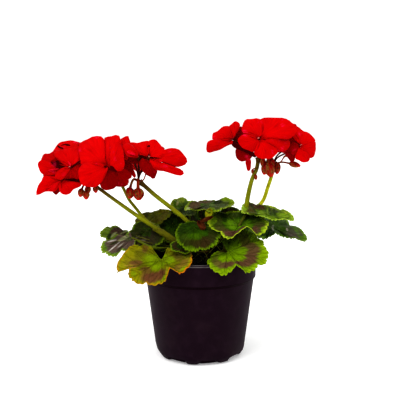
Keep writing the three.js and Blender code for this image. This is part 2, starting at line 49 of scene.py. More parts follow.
def lerp(a, b, share):
    return a + (b - a) * share


def smoothstep(low, high, value):
    share = min(max((value - low) / (high - low), 0), 1)
    return share * share * (3 - 2 * share)


def any_phase(chance):
    return 6.28 * chance.random()


def facing(way, up):
    """The direction that lies the given way, in degrees from +X, and stands up by so many degrees."""
    a, b = math.radians(way), math.radians(up)
    return Vector((math.cos(b) * math.cos(a), math.cos(b) * math.sin(a), math.sin(b)))


def blade_frame(at, face, points):
    """The frame of a blade: its middle, its face's direction, and the direction that it points along."""
    x = (points - face * points.dot(face)).normalized()
    axes = Matrix((x, face.cross(x), face)).transposed()
    return Matrix.Translation(at) @ axes.to_4x4()


def spaced(line, count):
    """So many points at even distances along a line of close points."""
    run = [0]
    for a, b in zip(line, line[1:]):
        run.append(run[-1] + (b - a).length)
    points, k = [], 0
    for i in range(count):
        goal = run[-1] * i / (count - 1)
        while k < len(line) - 2 and run[k + 1] < goal:
            k += 1
        points.append(line[k].lerp(line[k + 1], (goal - run[k]) / max(run[k + 1] - run[k], 1e-9)))
    return points


CURVE_STEPS = 30
BEND_STEPS = 60


def smooth_line(through, count):
    """So many points at even distances along the smooth line through the given ones."""
    points = [Vector(p) for p in through]
    ends = [2 * points[0] - points[1], *points, 2 * points[-1] - points[-2]]
    line = []
    for p0, p1, p2, p3 in zip(ends, ends[1:], ends[2:], ends[3:]):
        d0, d1, d2 = [(b - a).length ** 0.5 for a, b in ((p0, p1), (p1, p2), (p2, p3))]
        leave = ((p1 - p0) / d0 - (p2 - p0) / (d0 + d1) + (p2 - p1) / d1) * d1
        arrive = ((p2 - p1) / d1 - (p3 - p1) / (d1 + d2) + (p3 - p2) / d2) * d1
        for k in range(CURVE_STEPS):
            t = k / CURVE_STEPS
            line.append(
                p1 * (2 * t**3 - 3 * t**2 + 1)
                + leave * (t**3 - 2 * t**2 + t)
                + p2 * (3 * t**2 - 2 * t**3)
                + arrive * (t**3 - t**2)
            )
    return spaced([*line, points[-1]], count)


def bend(start, leave, arrive, end, count):
    """So many points at even distances along the bend between two ends and their two handles."""
    line = []
    for k in range(BEND_STEPS + 1):
        t = k / BEND_STEPS
        s = 1 - t
        line.append(start * s**3 + leave * (3 * s * s * t) + arrive * (3 * s * t * t) + end * t**3)
    return spaced(line, count)


# ---- Shaping pieces ----


def pick(*pieces):
    """Selects these pieces alone, with the first one active."""
    bpy.ops.object.select_all(action="DESELECT")
    for piece in pieces:
        piece.select_set(True)
    bpy.context.view_layer.objects.active = pieces[0]
    return pieces[0]


def shaped_grid(name, across, along, place):
    """A grid whose points are put at place(u, v), with its own UV map."""
    bpy.ops.mesh.primitive_grid_add(x_subdivisions=across, y_subdivisions=along, size=1)
    piece = bpy.context.object
    piece.name = name
    for vertex in piece.data.vertices:
        vertex.co = place(vertex.co.x + 0.5, vertex.co.y + 0.5) * MM
    return piece


def join(name, pieces):
    whole = pick(*pieces)
    if len(pieces) > 1:
        bpy.ops.object.join()
    whole.name = name
    whole.data.name = name
    return whole


MERGE_GAP = 0.004


def close(piece, outwards=True, flip=False):
    """Merges the points that meet, and turns the faces of a closed body outwards."""
    pick(piece)
    bpy.ops.object.mode_set(mode="EDIT")
    bpy.ops.mesh.select_all(action="SELECT")
    bpy.ops.mesh.remove_doubles(threshold=MERGE_GAP * MM)
    if outwards:
        bpy.ops.mesh.normals_make_consistent(inside=False)
    if flip:
        bpy.ops.mesh.flip_normals()
    bpy.ops.object.mode_set(mode="OBJECT")
    return piece


def apply(piece, kind, **settings):
    """Adds a modifier with these settings and applies it."""
    pick(piece)
    modifier = piece.modifiers.new(kind.lower(), kind)
    for name, value in settings.items():
        setattr(modifier, name, value)
    bpy.ops.object.modifier_apply(modifier=modifier.name)


def smooth(piece, degrees=50):
    pick(piece)
    bpy.ops.object.shade_smooth_by_angle(angle=math.radians(degrees))
    return piece


def rod(line, radii, sides=10):
    """A round stalk along a line of points. radii gives its thickness at each share of the length."""
    count = len(line)
    alongs = [(line[min(i + 1, count - 1)] - line[max(i - 1, 0)]).normalized() for i in range(count)]
    sideways, side = [], Vector((0, 1, 0))
    for along in alongs:
        side = (side - along * side.dot(along)).normalized()
        sideways.append((side, along.cross(side)))

    def place(u, v):
        ring = round(v * (count + 1))
        if ring in (0, count + 1):
            return line[0] if ring == 0 else line[-1]
        i = ring - 1
        a, b = sideways[i]
        turn = FULL_TURN * u
        return line[i] + (a * math.cos(turn) + b * math.sin(turn)) * radii(i / (count - 1), turn)

    return shaped_grid("rod", sides, count + 1, place)


def rods(name, lines, radii, sides):
    """Round stalks along these lines, as one closed piece."""
    return close(join(name, [rod(line, radii, sides) for line in lines]))


def between(pairs):
    """Thickness between the given (share, thickness) pairs, without corners."""

    def thickness(share, turn=0):
        for (s0, r0), (s1, r1) in zip(pairs, pairs[1:]):
            if share <= s1:
                return lerp(r0, r1, smoothstep(0, 1, (share - s0) / (s1 - s0)))
        return pairs[-1][1]

    return thickness


def turned(name, profile, sides):
    """A body turned about the pot's axis: a ring, extruded and resized along its profile."""
    radius, height = profile[0]
    bpy.ops.mesh.primitive_circle_add(vertices=sides, radius=radius * MM, location=(0, 0, height * MM))
    bpy.ops.object.transform_apply(location=True)
    piece = bpy.context.object
    piece.name = name
    bpy.ops.object.mode_set(mode="EDIT")
    bpy.ops.mesh.select_all(action="SELECT")
    for (r0, z0), (r1, z1) in zip(profile, profile[1:]):
        rise = (0, 0, (z1 - z0) * MM)
        bpy.ops.mesh.extrude_region_move(TRANSFORM_OT_translate={"value": rise})
        bpy.ops.transform.resize(value=(r1 / r0, r1 / r0, 1), center_override=(0, 0, z1 * MM))
    bpy.ops.object.mode_set(mode="OBJECT")
    return piece


def scatter(name, pattern, places):
    """Copies of a small pattern piece at these places, as one mesh. The pattern is used up."""
    points = [vertex.co.copy() for vertex in pattern.data.vertices]
    faces = [tuple(face.vertices) for face in pattern.data.polygons]
    mesh = bpy.data.meshes.new(name)
    mesh.from_pydata(
        [matrix @ point for matrix in places for point in points],
        [],
        [tuple(i + k * len(points) for i in face) for k in range(len(places)) for face in faces],
    )
    bpy.data.objects.remove(pattern)
    piece = bpy.data.objects.new(name, mesh)
    bpy.context.collection.objects.link(piece)
    return piece


# ---- Finishes ----


def paint(red, green, blue):
    """A colour as it is seen, from 0 to 255, as the shader counts it."""
    linear = [((c / 255 + 0.055) / 1.055) ** 2.4 if c > 10 else c / 255 / 12.92 for c in (red, green, blue)]
    return (*linear, 1)


def operator(operation, swapped=False):
    def work(field, other):
        return field.maths(operation, *((other, field) if swapped else (field, other)))

    return work


class Field:
    """A value of a finish that varies over the surface."""

    def __init__(self, finish, socket):
        self.finish = finish
        self.socket = socket

    def maths(self, operation, *values):
        return self.finish.node("ShaderNodeMath", {"operation": operation}, dict(enumerate(values)))

    __add__, __radd__ = operator("ADD"), operator("ADD", True)
    __sub__, __rsub__ = operator("SUBTRACT"), operator("SUBTRACT", True)
    __mul__, __rmul__ = operator("MULTIPLY"), operator("MULTIPLY", True)
    __truediv__, __rtruediv__ = operator("DIVIDE"), operator("DIVIDE", True)
    __pow__, most = operator("POWER"), operator("MAXIMUM")

    def __abs__(self):
        return self.maths("ABSOLUTE", self)

    def fraction(self):
        return self.maths("FRACT", self)

    def step(self, low, high):
        """0 below low, 1 above high, and a soft passage between."""
        inputs = {0: self, 1: low, 2: high, 3: 0.0, 4: 1.0}
        return self.finish.node("ShaderNodeMapRange", {"interpolation_type": "SMOOTHSTEP"}, inputs)


class Finish:
    """A material and its nodes. The constants are the shader's own, with _ for the spaces in their names."""

    def __init__(self, name, **constants):
        self.material = bpy.data.materials.new(name)
        self.material.use_nodes = True
        self.tree = self.material.node_tree
        self.shader = self.tree.nodes["Principled BSDF"]
        for socket, value in constants.items():
            self.shader.inputs[socket.replace("_", " ")].default_value = value

    def node(self, kind, settings, inputs, output=0):
        made = self.tree.nodes.new(kind)
        for name, value in settings.items():
            if name == "stops":
                ramp = made.color_ramp
                while len(ramp.elements) < len(value):
                    ramp.elements.new(0.5)
                for element, (position, colour) in zip(ramp.elements, value):
                    element.position = position
                    element.color = colour
            else:
                setattr(made, name, value)
        for key, value in inputs.items():
            if isinstance(value, Field):
                self.tree.links.new(value.socket, made.inputs[key])
            else:
                made.inputs[key].default_value = value
        return Field(self, made.outputs[output])

    def place(self):
        """The place on the object, in metres."""
        return self.node("ShaderNodeTexCoord", {}, {}, "Object")

    def along(self, axis):
        """The place on the object along X, Y or Z, in metres."""
        return self.node("ShaderNodeSeparateXYZ", {}, {0: self.place()}, axis)

    def uv(self):
        """The two values of the piece's own UV map."""
        both = self.node("ShaderNodeUVMap", {"uv_map": "UVMap"}, {})
        split = self.node("ShaderNodeSeparateXYZ", {}, {0: both})
        return split, Field(self, split.socket.node.outputs[1])

    def grain(self, size, detail):
        """Noise whose spots are about so many millimetres across."""
        inputs = {"Vector": self.place(), "Scale": 1 / (size * MM), "Detail": detail}
        return self.node("ShaderNodeTexNoise", {}, inputs)

    def streaks(self, x, y, z=0.0):
        """Noise over two values of the surface."""
        spot = self.node("ShaderNodeCombineXYZ", {}, {0: x, 1: y, 2: z})
        return self.node("ShaderNodeTexNoise", {}, {"Vector": spot, "Scale": 1.0, "Detail": 2.0})

    def mix(self, share, one, other):
        inputs = {0: share, 6: one, 7: other}
        return self.node("ShaderNodeMix", {"data_type": "RGBA"}, inputs, 2)

    def ramp(self, value, stops):
        return self.node("ShaderNodeValToRGB", {"stops": stops}, {0: value})

    def feed(self, socket, value):
        self.tree.links.new(value.socket, self.shader.inputs[socket])

    def relief(self, height, depth, strength=1.0):
        """Raises the surface by up to so many millimetres."""
        inputs = {"Height": height, "Distance": depth * MM, "Strength": strength}
        self.feed("Normal", self.node("ShaderNodeBump", {}, inputs))


def dress(piece, *finishes):
    for finish in finishes:
        piece.data.materials.append(finish.material)
    return piece


def place_piece(piece, slot, *nodes):
    """Fixes a piece to the plant's one body, and hides the solids of the part that it stands for."""
    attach(piece, "root")
    if nodes:
        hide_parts(*nodes)


# ---- Pot ----

FEET = 8
FIRST_FOOT = -10
FOOT_ANGLE = 360 / FEET
FEET_TOP = 12  # below this height the wall is pressed in between the feet
SOLE_TOP = 4  # below this height the floor's edge rises between them too
NOTCH_DEPTH = 3
FLAT_FLOOR = 34.2
DRAIN_CIRCLE = 33
DRAIN_RADIUS = 3
POT_SIDES = 192
POT_PROFILE = [
    (0.02, 0), (16, 0), (30, 0), (33.5, 0), (37, 0.1), (40, 0.2), (41.6, 0.5), (42.4, 1.1),
    (43.2, 2.2), (44.2, 3.6), (45.1, 5), (45.6, 6.6), (45.9, 8.4), (46.1, 10.2), (46.3, 12),
    (47.2, 19), (49.5, 36.5), (52.2, 57), (55.2, 79.9), (55.3, 80.6), (55.6, 81), (56.5, 81.3),
    (56.9, 81.7), (57, 82.3), (57, 84), (57, 92), (57, 99.6), (57.05, 100.8), (57.25, 101.3),
    (57.5, 101.6), (57.6, 102.1), (57.6, 102.8), (57.45, 103.4), (57.1, 103.8), (56.6, 104),
    (56.2, 103.9), (55.95, 103.6), (55.8, 103.5), (55.6, 103.6), (55.45, 103.5), (55.35, 103),
    (55.35, 101), (55.3, 83.4), (55.1, 82.6), (54, 81.4), (53.7, 80.4), (49.4, 44), (45.2, 14),
    (43.6, 8.4), (41.4, 6.2), (38, 5.4), (20, 5), (0.02, 5),
]


def notch_share(angle):
    """How far the foot is pressed in at this angle: 0 on a foot and 1 in a notch."""
    share = ((angle - FIRST_FOOT) % FOOT_ANGLE) / FOOT_ANGLE
    return smoothstep(0.12, 0.34, 0.5 - abs(share - 0.5))


def pot_finish():
    tint = paint(255, 110, 140)
    finish = Finish("pot_plastic", Roughness=0.42, Specular_IOR_Level=0.08, Specular_Tint=tint)
    scuffs = finish.grain(9, 5.0)
    fine = finish.grain(0.6, 2.0)
    dust = finish.grain(26, 4.0).step(0.5, 0.75)
    height = finish.along("Z") * (1 / MM)
    base = finish.mix(scuffs.step(0.4, 0.7), paint(31, 23, 32), paint(37, 27, 37))
    base = finish.mix(dust * 0.25, base, paint(54, 42, 48))
    # Painted shade: the strip under the band, where the wall steps in, is darkened almost to black.
    band_underside_shade = height.step(79.2, 80.2) * (1 - height.step(81.9, 82.8))
    base = finish.mix(band_underside_shade * 0.75, base, paint(8, 3, 6))
    # Painted highlight: two light lines along the top and the underside of the rolled lip, broken up by the
    # scuffs.
    top, bottom = height.step(103.2, 103.7), height.step(101.2, 101.7) * (1 - height.step(102.3, 102.9))
    lip_highlight = top.most(bottom) * scuffs.step(0.2, 0.5)
    finish.feed("Base Color", finish.mix(lip_highlight * 0.8, base, paint(100, 98, 96)))
    finish.feed("Roughness", scuffs * 0.2 + fine * 0.08 + 0.4)
    finish.relief(fine + scuffs * 0.6, 0.05, 0.5)
    return finish


def make_pot():
    pot = close(turned("pot_shell", POT_PROFILE, POT_SIDES))
    for vertex in pot.data.vertices:
        x, y, z = vertex.co / MM
        radius = math.hypot(x, y)
        low = min(max(1 - z / FEET_TOP, 0), 1)
        if radius < FLAT_FLOOR or low == 0 or radius < 38 - z:
            continue
        press = NOTCH_DEPTH * notch_share(math.degrees(math.atan2(x, -y)))
        press *= 1 if z < SOLE_TOP else 0.5 * low
        shrink = 1 - press / radius
        vertex.co = Vector((x * shrink, y * shrink, z + press if z < SOLE_TOP else z)) * MM
    for k in range(FEET):
        angle = math.radians(FIRST_FOOT + (k + 0.5) * FOOT_ANGLE)
        spot = (DRAIN_CIRCLE * MM * math.sin(angle), -DRAIN_CIRCLE * MM * math.cos(angle), 0)
        bpy.ops.mesh.primitive_cylinder_add(vertices=24, radius=DRAIN_RADIUS * MM, depth=20 * MM, location=spot)
        drill = bpy.context.object
        apply(pot, "BOOLEAN", operation="DIFFERENCE", object=drill, solver="EXACT")
        bpy.data.objects.remove(drill)
    smooth(close(pot), 35)
    place_piece(dress(pot, pot_finish()), "pot_plastic", "pot")


# ---- Potting mix ----

SOIL_HEIGHT = 93
SOIL_RADIUS = 55
# The body of the mix below its top: the radius of each ring, and how far it lies below the ring before.
SOIL_RINGS = ((54.2, 10), (53, 4), (44.2, 66), (40.6, 6))
CRUMBS = 620
CRUMB_REACH = 53.5


def peat_finish():
    finish = Finish("peat", Roughness=0.95, Specular_IOR_Level=0.15)
    lumps = finish.grain(2.2, 5.0)
    fine = finish.grain(0.7, 3.0)
    base = finish.mix(lumps.step(0.35, 0.7), paint(9, 8, 6), paint(34, 26, 18))
    finish.feed("Base Color", finish.mix(fine.step(0.62, 0.75), base, paint(58, 44, 28)))
    finish.relief(lumps + fine * 0.4, 1.2)
    return finish


def soil_top(x, y):
    spot = Vector((x, y, 0))
    lumps = 1.3 * noise.noise(spot * 0.12) + 0.7 * noise.noise(spot * 0.35) + 0.4 * noise.noise(spot * 0.9)
    edge = smoothstep(46, 55, math.hypot(x, y))
    return SOIL_HEIGHT + 0.4 + lumps + math.sin(0.21 * x + 1) * math.cos(0.17 * y) - 0.8 * edge


def make_soil(peat):
    def place(u, v):
        a, b = 2 * u - 1, 2 * v - 1
        x = SOIL_RADIUS * (a * math.sqrt(1 - b * b / 2))
        y = SOIL_RADIUS * (b * math.sqrt(1 - a * a / 2))
        return Vector((x, y, soil_top(x, y)))

    soil = shaped_grid("potting_mix", 110, 110, place)
    pick(soil)
    bpy.ops.object.mode_set(mode="EDIT")
    bpy.ops.mesh.select_all(action="SELECT")
    bpy.ops.mesh.region_to_loop()
    before = SOIL_RADIUS
    for radius, fall in SOIL_RINGS:
        bpy.ops.mesh.extrude_region_move(TRANSFORM_OT_translate={"value": (0, 0, -fall * MM)})
        bpy.ops.transform.resize(value=(radius / before, radius / before, 1), center_override=(0, 0, 0))
        before = radius
    bpy.ops.mesh.edge_face_add()
    bpy.ops.object.mode_set(mode="OBJECT")
    smooth(close(soil), 60)
    place_piece(dress(soil, peat), "peat", "soil")


def make_crumbs(peat):
    chance = random.Random(5)
    bpy.ops.mesh.primitive_ico_sphere_add(subdivisions=1, radius=MM)
    crumb = bpy.context.object
    for vertex in crumb.data.vertices:
        vertex.co *= 0.75 + 0.5 * noise.noise(vertex.co * 2600 + Vector((3, 1, 2)))
    places = []
    for _ in range(CRUMBS):
        reach, way = CRUMB_REACH * math.sqrt(chance.random()), FULL_TURN * chance.random()
        x, y = reach * math.cos(way), reach * math.sin(way)
        size = 0.5 + 1.5 * chance.random() ** 2.5
        turn = Matrix.Rotation(any_phase(chance), 4, facing(360 * chance.random(), 30))
        stretch = Matrix.Diagonal((size, size * lerp(0.5, 1, chance.random()), size * 0.7, 1))
        spot = Vector((x, y, soil_top(x, y) + 0.15 * size)) * MM
        places.append(Matrix.Translation(spot) @ turn @ stretch)
    crumbs = scatter("peat_crumbs", crumb, places)
    place_piece(dress(crumbs, peat), "peat")


# ---- Stems and leaf stalks ----

# The three main stems: the points that each passes, and its radius at its foot and its tip.
STEMS = {
    "left": ([(4, 8, 80), (-14, 4, 93), (-19, 0, 106), (-29, -7, 120), (-46, -10, 132)], 4.2, 3),
    "centre": ([(4, 8, 80), (9, 14, 94), (8, 10, 112), (-3, -2, 131)], 3.8, 2.6),
    "right": ([(4, 8, 80), (19, 4, 93), (27, 3, 107), (38, 4, 127), (46, 5, 141)], 4.2, 3),
}


LOBES = 5
TEETH = 6


class Leaf:
    """A leaf, by its heart, the ways that it points and leans, its length and its form.

    stem: the main stem that it grows from, and the share along it. form: how far it cups, how deep it
    pleats and, without a rim, how long its back lobes are. rim: its notches and tips in turn, from its
    heart. Without a rim its lobes are even: gap is the angle that is left open at the stalk, and cut how
    deep the notches are. teeth: the depth of its teeth. via: a point that its stalk passes.
    """

    def __init__(
        self, name, stem, heart, points, leans, long, form, rim=None, gap=16, cut=0.14, teeth=1, via=None
    ):
        way, lean = leans
        self.name, self.stem, self.via = name, stem, via
        self.heart, self.long, self.form = Vector(heart), long, form
        self.rim, self.gap, self.cut, self.teeth = rim, gap, cut, teeth
        self.lobes = len(rim) // 2 if rim else LOBES
        self.frame = blade_frame(self.heart, facing(way, 90 - lean), facing(points, 0))


LEAVES = [
    Leaf("front_left", ("left", 0.42), (-36.1, -49, 107.3), -78, (-96, 27), 41, (0.04, 0.05), teeth=0.45, rim=[
        (-11.3, 18, 8.5), (-22.6, 23.8, 10.9), (-34, 15.5, 6.1), (-41.8, -5.2, -7), (-29.5, -13.4, -6.1),
        (-27, -20.2, -11.6), (-12.4, -28.4, -16.2), (3.5, -26.1, -13), (9, -17.1, -4.8), (19.3, -19.5, -6.6),
        (29.2, -5.5, 2.2), (21, 13.3, 9), (5, 14.7, 7.7),
    ]),
    Leaf("front_right", ("right", 0.3), (27.4, -43, 113.4), -26, (-92, 29), 39, (0.08, 0.05), rim=[
        (-10.6, 0.5, 0.1), (-17.3, -4, -2.6), (-18.3, -16.5, -9.5), (-4.4, -25.3, -14.1), (7.4, -20.6, -9),
        (17.1, -22.8, -12.3), (28, -18.2, -9.6), (36.9, -6.7, -3), (35.2, 5.6, 4.9), (30.1, 20.2, 11.7),
        (17.9, 33.4, 18.8), (1.8, 30, 16.6), (-7.9, 19.3, 10.5),
    ]),
    Leaf(
        "rim_right", ("right", 0.22), (52, -14.5, 106), -40, (-40, 28), 17, (0.02, 0.05, 0.8), gap=18, cut=0.12,
    ),
    Leaf("centre", ("centre", 0.62), (-4.4, -33, 135), -78, (-90, 34), 24, (-0.06, 0.05), rim=[
        (-1.1, 8.2, 5.5), (-10.9, 7.6, 5.1), (-17, 2, 0.1), (-18, -9.7, -6.6), (-11.9, -21.9, -12.9),
        (-3.8, -24.2, -16.3), (5.1, -25.5, -16), (15, -20.3, -13.7), (22.6, -14, -8.2), (21.3, -1.7, -1.2),
        (-2.1, 8.2, 5.5),
    ]),
    Leaf("middle_right", ("right", 0.9), (38.5, -26, 137.3), -95, (-88, 24), 30, (0.2, 0.05), rim=[
        (2, 22.6, 10), (-13.2, 21.2, 10.7), (-24.8, 19.3, 9), (-29.8, 3.5, 0.9), (-18.8, -16.1, -4.7),
        (-9.3, -17.9, -8.9), (7.3, -10.6, -0.5), (17.8, -12.1, -6.8), (27.7, -2.5, -1.6), (26.4, 12.2, 5),
        (19.2, 23, 9.9), (12.2, 25.5, 11.1), (1, 23.1, 10.2),
    ]),
    Leaf("upper_right", ("right", 0.95), (66, -12, 146.5), -85, (-60, 14), 28, (0.16, 0.04), rim=[
        (1.9, 24.3, 5), (-8.2, 27.2, 6.9), (-17.6, 25.9, 7.8), (-23.9, 5.7, 4.3), (-20.5, -10.1, 1.5),
        (-10.3, -4.9, 0.3), (-2.8, -11, -2), (7, -11.4, -3.3), (16.5, -13.9, -4), (27.1, -5.5, -4.5),
        (22.9, 8.3, 0), (15, 20.7, 2.6), (-0.1, 24.7, 5.4),
    ]),
    Leaf("far_right", ("right", 0.8), (74.1, 20, 127.5), -12, (-50, 22), 37, (-0.06, 0.06), rim=[
        (13.4, 29.6, 5.6), (-0.9, 28.2, 8.9), (-10.5, 14.6, 7.2), (-18.8, -8, 2.4), (-19.3, -31.3, -3.7),
        (-7.1, -24, -5.6), (2.3, -20.5, -4.8), (14.7, -10, -6.9), (23.3, -16.3, -10.1), (36.5, -6.2, -11.4),
        (32, 8.4, -4.7), (23.5, 22.3, 0.7), (12.4, 29.7, 5.9),
    ]),
    Leaf("top_centre", ("centre", 0.98), (7.2, 0, 153.6), -100, (-100, 8), 27, (0.04, 0.05), rim=[
        (-0.6, 15.2, 2.1), (-10.4, 18, 2.3), (-16.9, 8.3, 1.8), (-22.5, -9.7, -1.8), (-16.2, -21.6, -2.3),
        (-9.9, -14.4, -2.2), (-2.9, -23.8, -2.3), (5.9, -21, -2.7), (15.2, -21.5, -1.5), (27.5, 5.8, 1.5),
        (20.2, 19.6, 4.3), (10.4, 20.4, 3.1), (-1.6, 16, 2.2),
    ]),
    Leaf("top_left", ("centre", 0.6), (-14.8, 24, 148), 130, (-90, 18), 18, (0.04, 0.06), rim=[
        (7.1, 6.9, 2.3), (1.1, 17.2, 5.6), (-4.4, 21, 6.8), (-10.4, 21, 6.8), (-14.7, 11.6, 4.8),
        (-15.8, 1.1, 0.4), (-13, -13.4, -3.3), (-6.7, -17.8, -5.8), (1.6, -22.1, -6.1), (10.1, -13.4, -4.3),
        (7.6, 9.2, 3),
    ]),
    Leaf("olive_left", ("left", 0.9), (-46.4, 24, 138.5), -60, (-130, 34), 20.5, (0.04, 0.04), rim=[
        (4.9, 7.1, 5.7), (-6.1, 11, 3), (-13.8, 13.8, 1.1), (-20.1, 12.2, -2.4), (-21.8, 2, -7.3),
        (-17.2, -7.7, -11.5), (-8.2, -15.7, -9.3), (1, -13.8, -6.8), (9.4, -15.6, -2.8), (16.5, -2.8, 5.7),
        (3.7, 8.2, 5.8),
    ]),
    Leaf(
        "low_left", ("left", 0.55), (-67.2, -14, 122.1), -157, (-110, 37), 33, (0.02, 0.08),
        via=(-46, -26, 115), rim=[
            (-3.2, 7.2, 4.3), (-9.3, 7.5, 2.9), (-16.4, 7, 0.7), (-24.4, 6.5, -1.7), (-29.3, 1.3, -5.3),
            (-30.6, -4.2, -10.8), (-25, -11.9, -13.6), (-16.9, -13.9, -14.2), (-8.9, -14.6, -10.7),
            (-0.4, -11.6, -8.3), (4, -5.7, -3),
        ],
    ),
    Leaf("far_left", ("left", 0.7), (-74.2, 8, 120.6), 165, (-100, 30), 23, (0.02, 0.06), rim=[
        (-0.7, 6.4, 3.6), (-6.8, 10.1, 5.1), (-12.9, 12.8, 7.1), (-20.2, 16.2, 7.2), (-25.3, 11.3, 5.1),
        (-29.7, 6.6, 0.8), (-22.9, -2.8, -2.7), (-17.8, -6.6, -5.5), (-11, -11.7, -6.6), (-5.1, -9.6, -6),
        (-0.4, -6.2, -3.5),
    ]),
    Leaf("inner_left", ("left", 0.8), (-53.7, -2.5, 127.2), -150, (-95, 32), 19, (0.06, 0.07), rim=[
        (9.7, 7.1, 4.9), (-1, 13.2, 8.1), (-10.5, 10.3, 7), (-16.1, 4.3, 1.8), (-18.7, -5.3, -3.2),
        (-15.8, -14.1, -9.7), (-8.2, -21, -12.4), (1.7, -21.4, -13.3), (11.6, -21.1, -11.3), (17.7, -7.6, -3.8),
        (8.6, 8.5, 5.8),
    ]),
    Leaf("shade_left", ("centre", 0.75), (-29.3, 18, 131), -110, (-84, 40), 23, (0.04, 0.06), rim=[
        (2.5, 14.2, 11.6), (-9, 12.1, 10.8), (-15.3, 2.7, 4.8), (-16.4, -4.1, -2), (-12.7, -13.8, -9.2),
        (-5.4, -17.5, -14.2), (4, -20.5, -16.2), (13, -16.5, -14.9), (18.9, -8, -7.1), (17.5, 6.9, 4.2),
        (0.9, 14.6, 12.1),
    ]),
    Leaf("young_front", ("centre", 0.4), (-17, -40, 119), -70, (-85, 24), 13, (0.08, 0.05, 0.85)),
    Leaf("inner_right", ("right", 0.6), (21.7, 18, 141.5), -80, (-90, 32), 20, (0.02, 0.06, 0.85)),
    Leaf("inner_back", ("centre", 0.6), (1.8, 40, 137.1), -95, (-88, 34), 23, (0.02, 0.06, 0.85)),
    Leaf("back_left", ("left", 0.35), (-53, 40, 116), 140, (-150, 12), 28, (0.03, 0.06, 0.8)),
    Leaf("back_centre", ("centre", 0.35), (-3, 61, 115), 92, (95, 24), 27, (0.04, 0.06, 0.8)),
    Leaf("back_right", ("right", 0.4), (44, 46, 112.5), 54, (50, 24), 26, (0.03, 0.06, 0.8)),
    Leaf("back_upper_right", ("right", 0.6), (42, 40, 139), 75, (80, 16), 22, (0.08, 0.07, 0.85), gap=14),
    Leaf("back_upper_left", ("centre", 0.7), (-37, 53, 135), 120, (110, 16), 22, (0.08, 0.07, 0.85), gap=14),
]

# Small leaves that fill the crown: the stem that each grows from, its heart, its lean and its length.
YOUNG_LEAVES = [
    Leaf(
        f"young_{k + 1}", stem, heart, -90 + 8 * (k % 3 - 1), (-90, lean), long, (0.04, 0.06, 0.9),
        gap=8, cut=0.1,
    )
    for k, (stem, heart, lean, long) in enumerate([
        (("centre", 0.5), (-29.2, 34, 113.2), 40, 13),
        (("right", 0.45), (24.2, 34, 113.2), 42, 13),
        (("left", 0.3), (-40.8, 16, 111.2), 40, 12),
        (("centre", 0.8), (7.2, 14, 142.1), 44, 11),
        (("centre", 0.5), (17.4, 6, 121.5), 44, 11),
        (("right", 0.7), (30.8, 8, 141.6), 40, 13),
    ])
]
ALL_LEAVES = LEAVES + YOUNG_LEAVES


def leaf_stalk_line(leaf):
    name, share = leaf.stem
    start = smooth_line(STEMS[name][0], 201)[round(200 * share)]
    x, z = leaf.frame.col[0].xyz, leaf.frame.col[2].xyz
    end = leaf.heart - z * 0.3
    if leaf.via:
        return smooth_line([start, leaf.via, end], 22)
    reach = (end - start).length
    out = Vector((end.x - start.x, end.y - start.y, 0)).normalized()
    leave = start + out * (0.35 * reach) + Vector((0, 0, 0.06 * reach))
    arrive = end - z * (0.22 * reach) - x * (0.16 * reach)
    return bend(start, leave, arrive, end, 22)


def stalk_finish(name, low, high, hub=None, reach=0):
    """A ribbed stalk of the colour low, which takes the colour high within reach of its hub."""
    finish = Finish(name, Roughness=0.5, Specular_IOR_Level=0.12)
    u, v = finish.uv()
    ribs = finish.streaks(u * 22.0, v * 6.0)
    spots = finish.grain(5, 3.0)
    tone = finish.mix(ribs.step(0.3, 0.75), low, [min(1.0, c * 1.5) for c in low[:3]] + [1])
    if hub:
        inputs = {0: finish.place(), 1: [c * MM for c in hub]}
        far = finish.node("ShaderNodeVectorMath", {"operation": "DISTANCE"}, inputs, "Value")
        tone = finish.mix((far + (spots - 0.5) * 0.02).step(0.1 * reach * MM, reach * MM), high, tone)
        tone = finish.mix((1 - v.step(0.0, 0.2)) * 0.7, tone, paint(92, 92, 12))
    finish.feed("Base Color", finish.mix(spots.step(0.5, 0.8) * 0.5, tone, high))
    finish.relief(ribs, 0.15, 0.6)
    return finish


# The stalk that stands in the gap of the middle right leaf.
GAP_STALK = [(38.5, -27.6, 136), (41, -23.5, 140.7), (43.9, -17.5, 143.8), (46.4, -9, 145.9), (48, -1, 147.6)]
CROWN, LEAF_CROWN = (4, 8, 80), (4, 8, 95)  # where the stems and the leaf stalks take their darker colour


def stem_thickness(foot, tip):
    """A woody stem: tapered, with a swollen ring wherever a leaf grew."""

    def thickness(share, turn=0):
        swell = max(0, math.cos(FULL_TURN * 4.5 * share + 0.4)) ** 14
        return lerp(foot, tip, share) * (1 + 0.16 * swell + 0.03 * math.sin(3 * turn + 9 * share))

    return thickness


def make_stems():
    stems = [rod(smooth_line(line, 60), stem_thickness(foot, tip), 14) for line, foot, tip in STEMS.values()]
    stems = close(join("stems_main", stems))
    wood = stalk_finish("stem_skin", paint(102, 100, 16), paint(66, 58, 22), CROWN, 60)
    place_piece(dress(smooth(stems), wood), "stem", "stems")

    thickness = between([(0, 2.1), (0.06, 1.6), (0.2, 1.35), (0.9, 1.2), (1, 1.45)])
    stalks = rods("leaf_stalks", [leaf_stalk_line(leaf) for leaf in ALL_LEAVES], thickness, 8)
    green = stalk_finish("leaf_stalk_skin", paint(84, 96, 16), paint(112, 84, 30), LEAF_CROWN, 38)
    place_piece(dress(smooth(stalks), green), "stem", "stems")

    inner = rods("leaf_stalk_inner", [smooth_line(GAP_STALK, 30)], between([(0, 1.1), (1, 1.7)]), 8)
    # The stalk in the gap takes darker tones than the other leaf stalks: painted shade.
    shaded = stalk_finish("inner_stalk_shaded_skin", paint(70, 76, 8), paint(70, 60, 20), (38, -27, 136), 6)
    place_piece(dress(smooth(inner), shaded), "stem", "stems")


# ---- Leaves ----


TOOTH_DEPTH = 0.035
TOOTH_STEPS = 5
BLADE_ROWS = 18
BLADE_THICKNESS = 0.5


def evenly(lobes, gap):
    return [(180 - gap) * (2 * i / lobes - 1) for i in range(lobes + 1)]


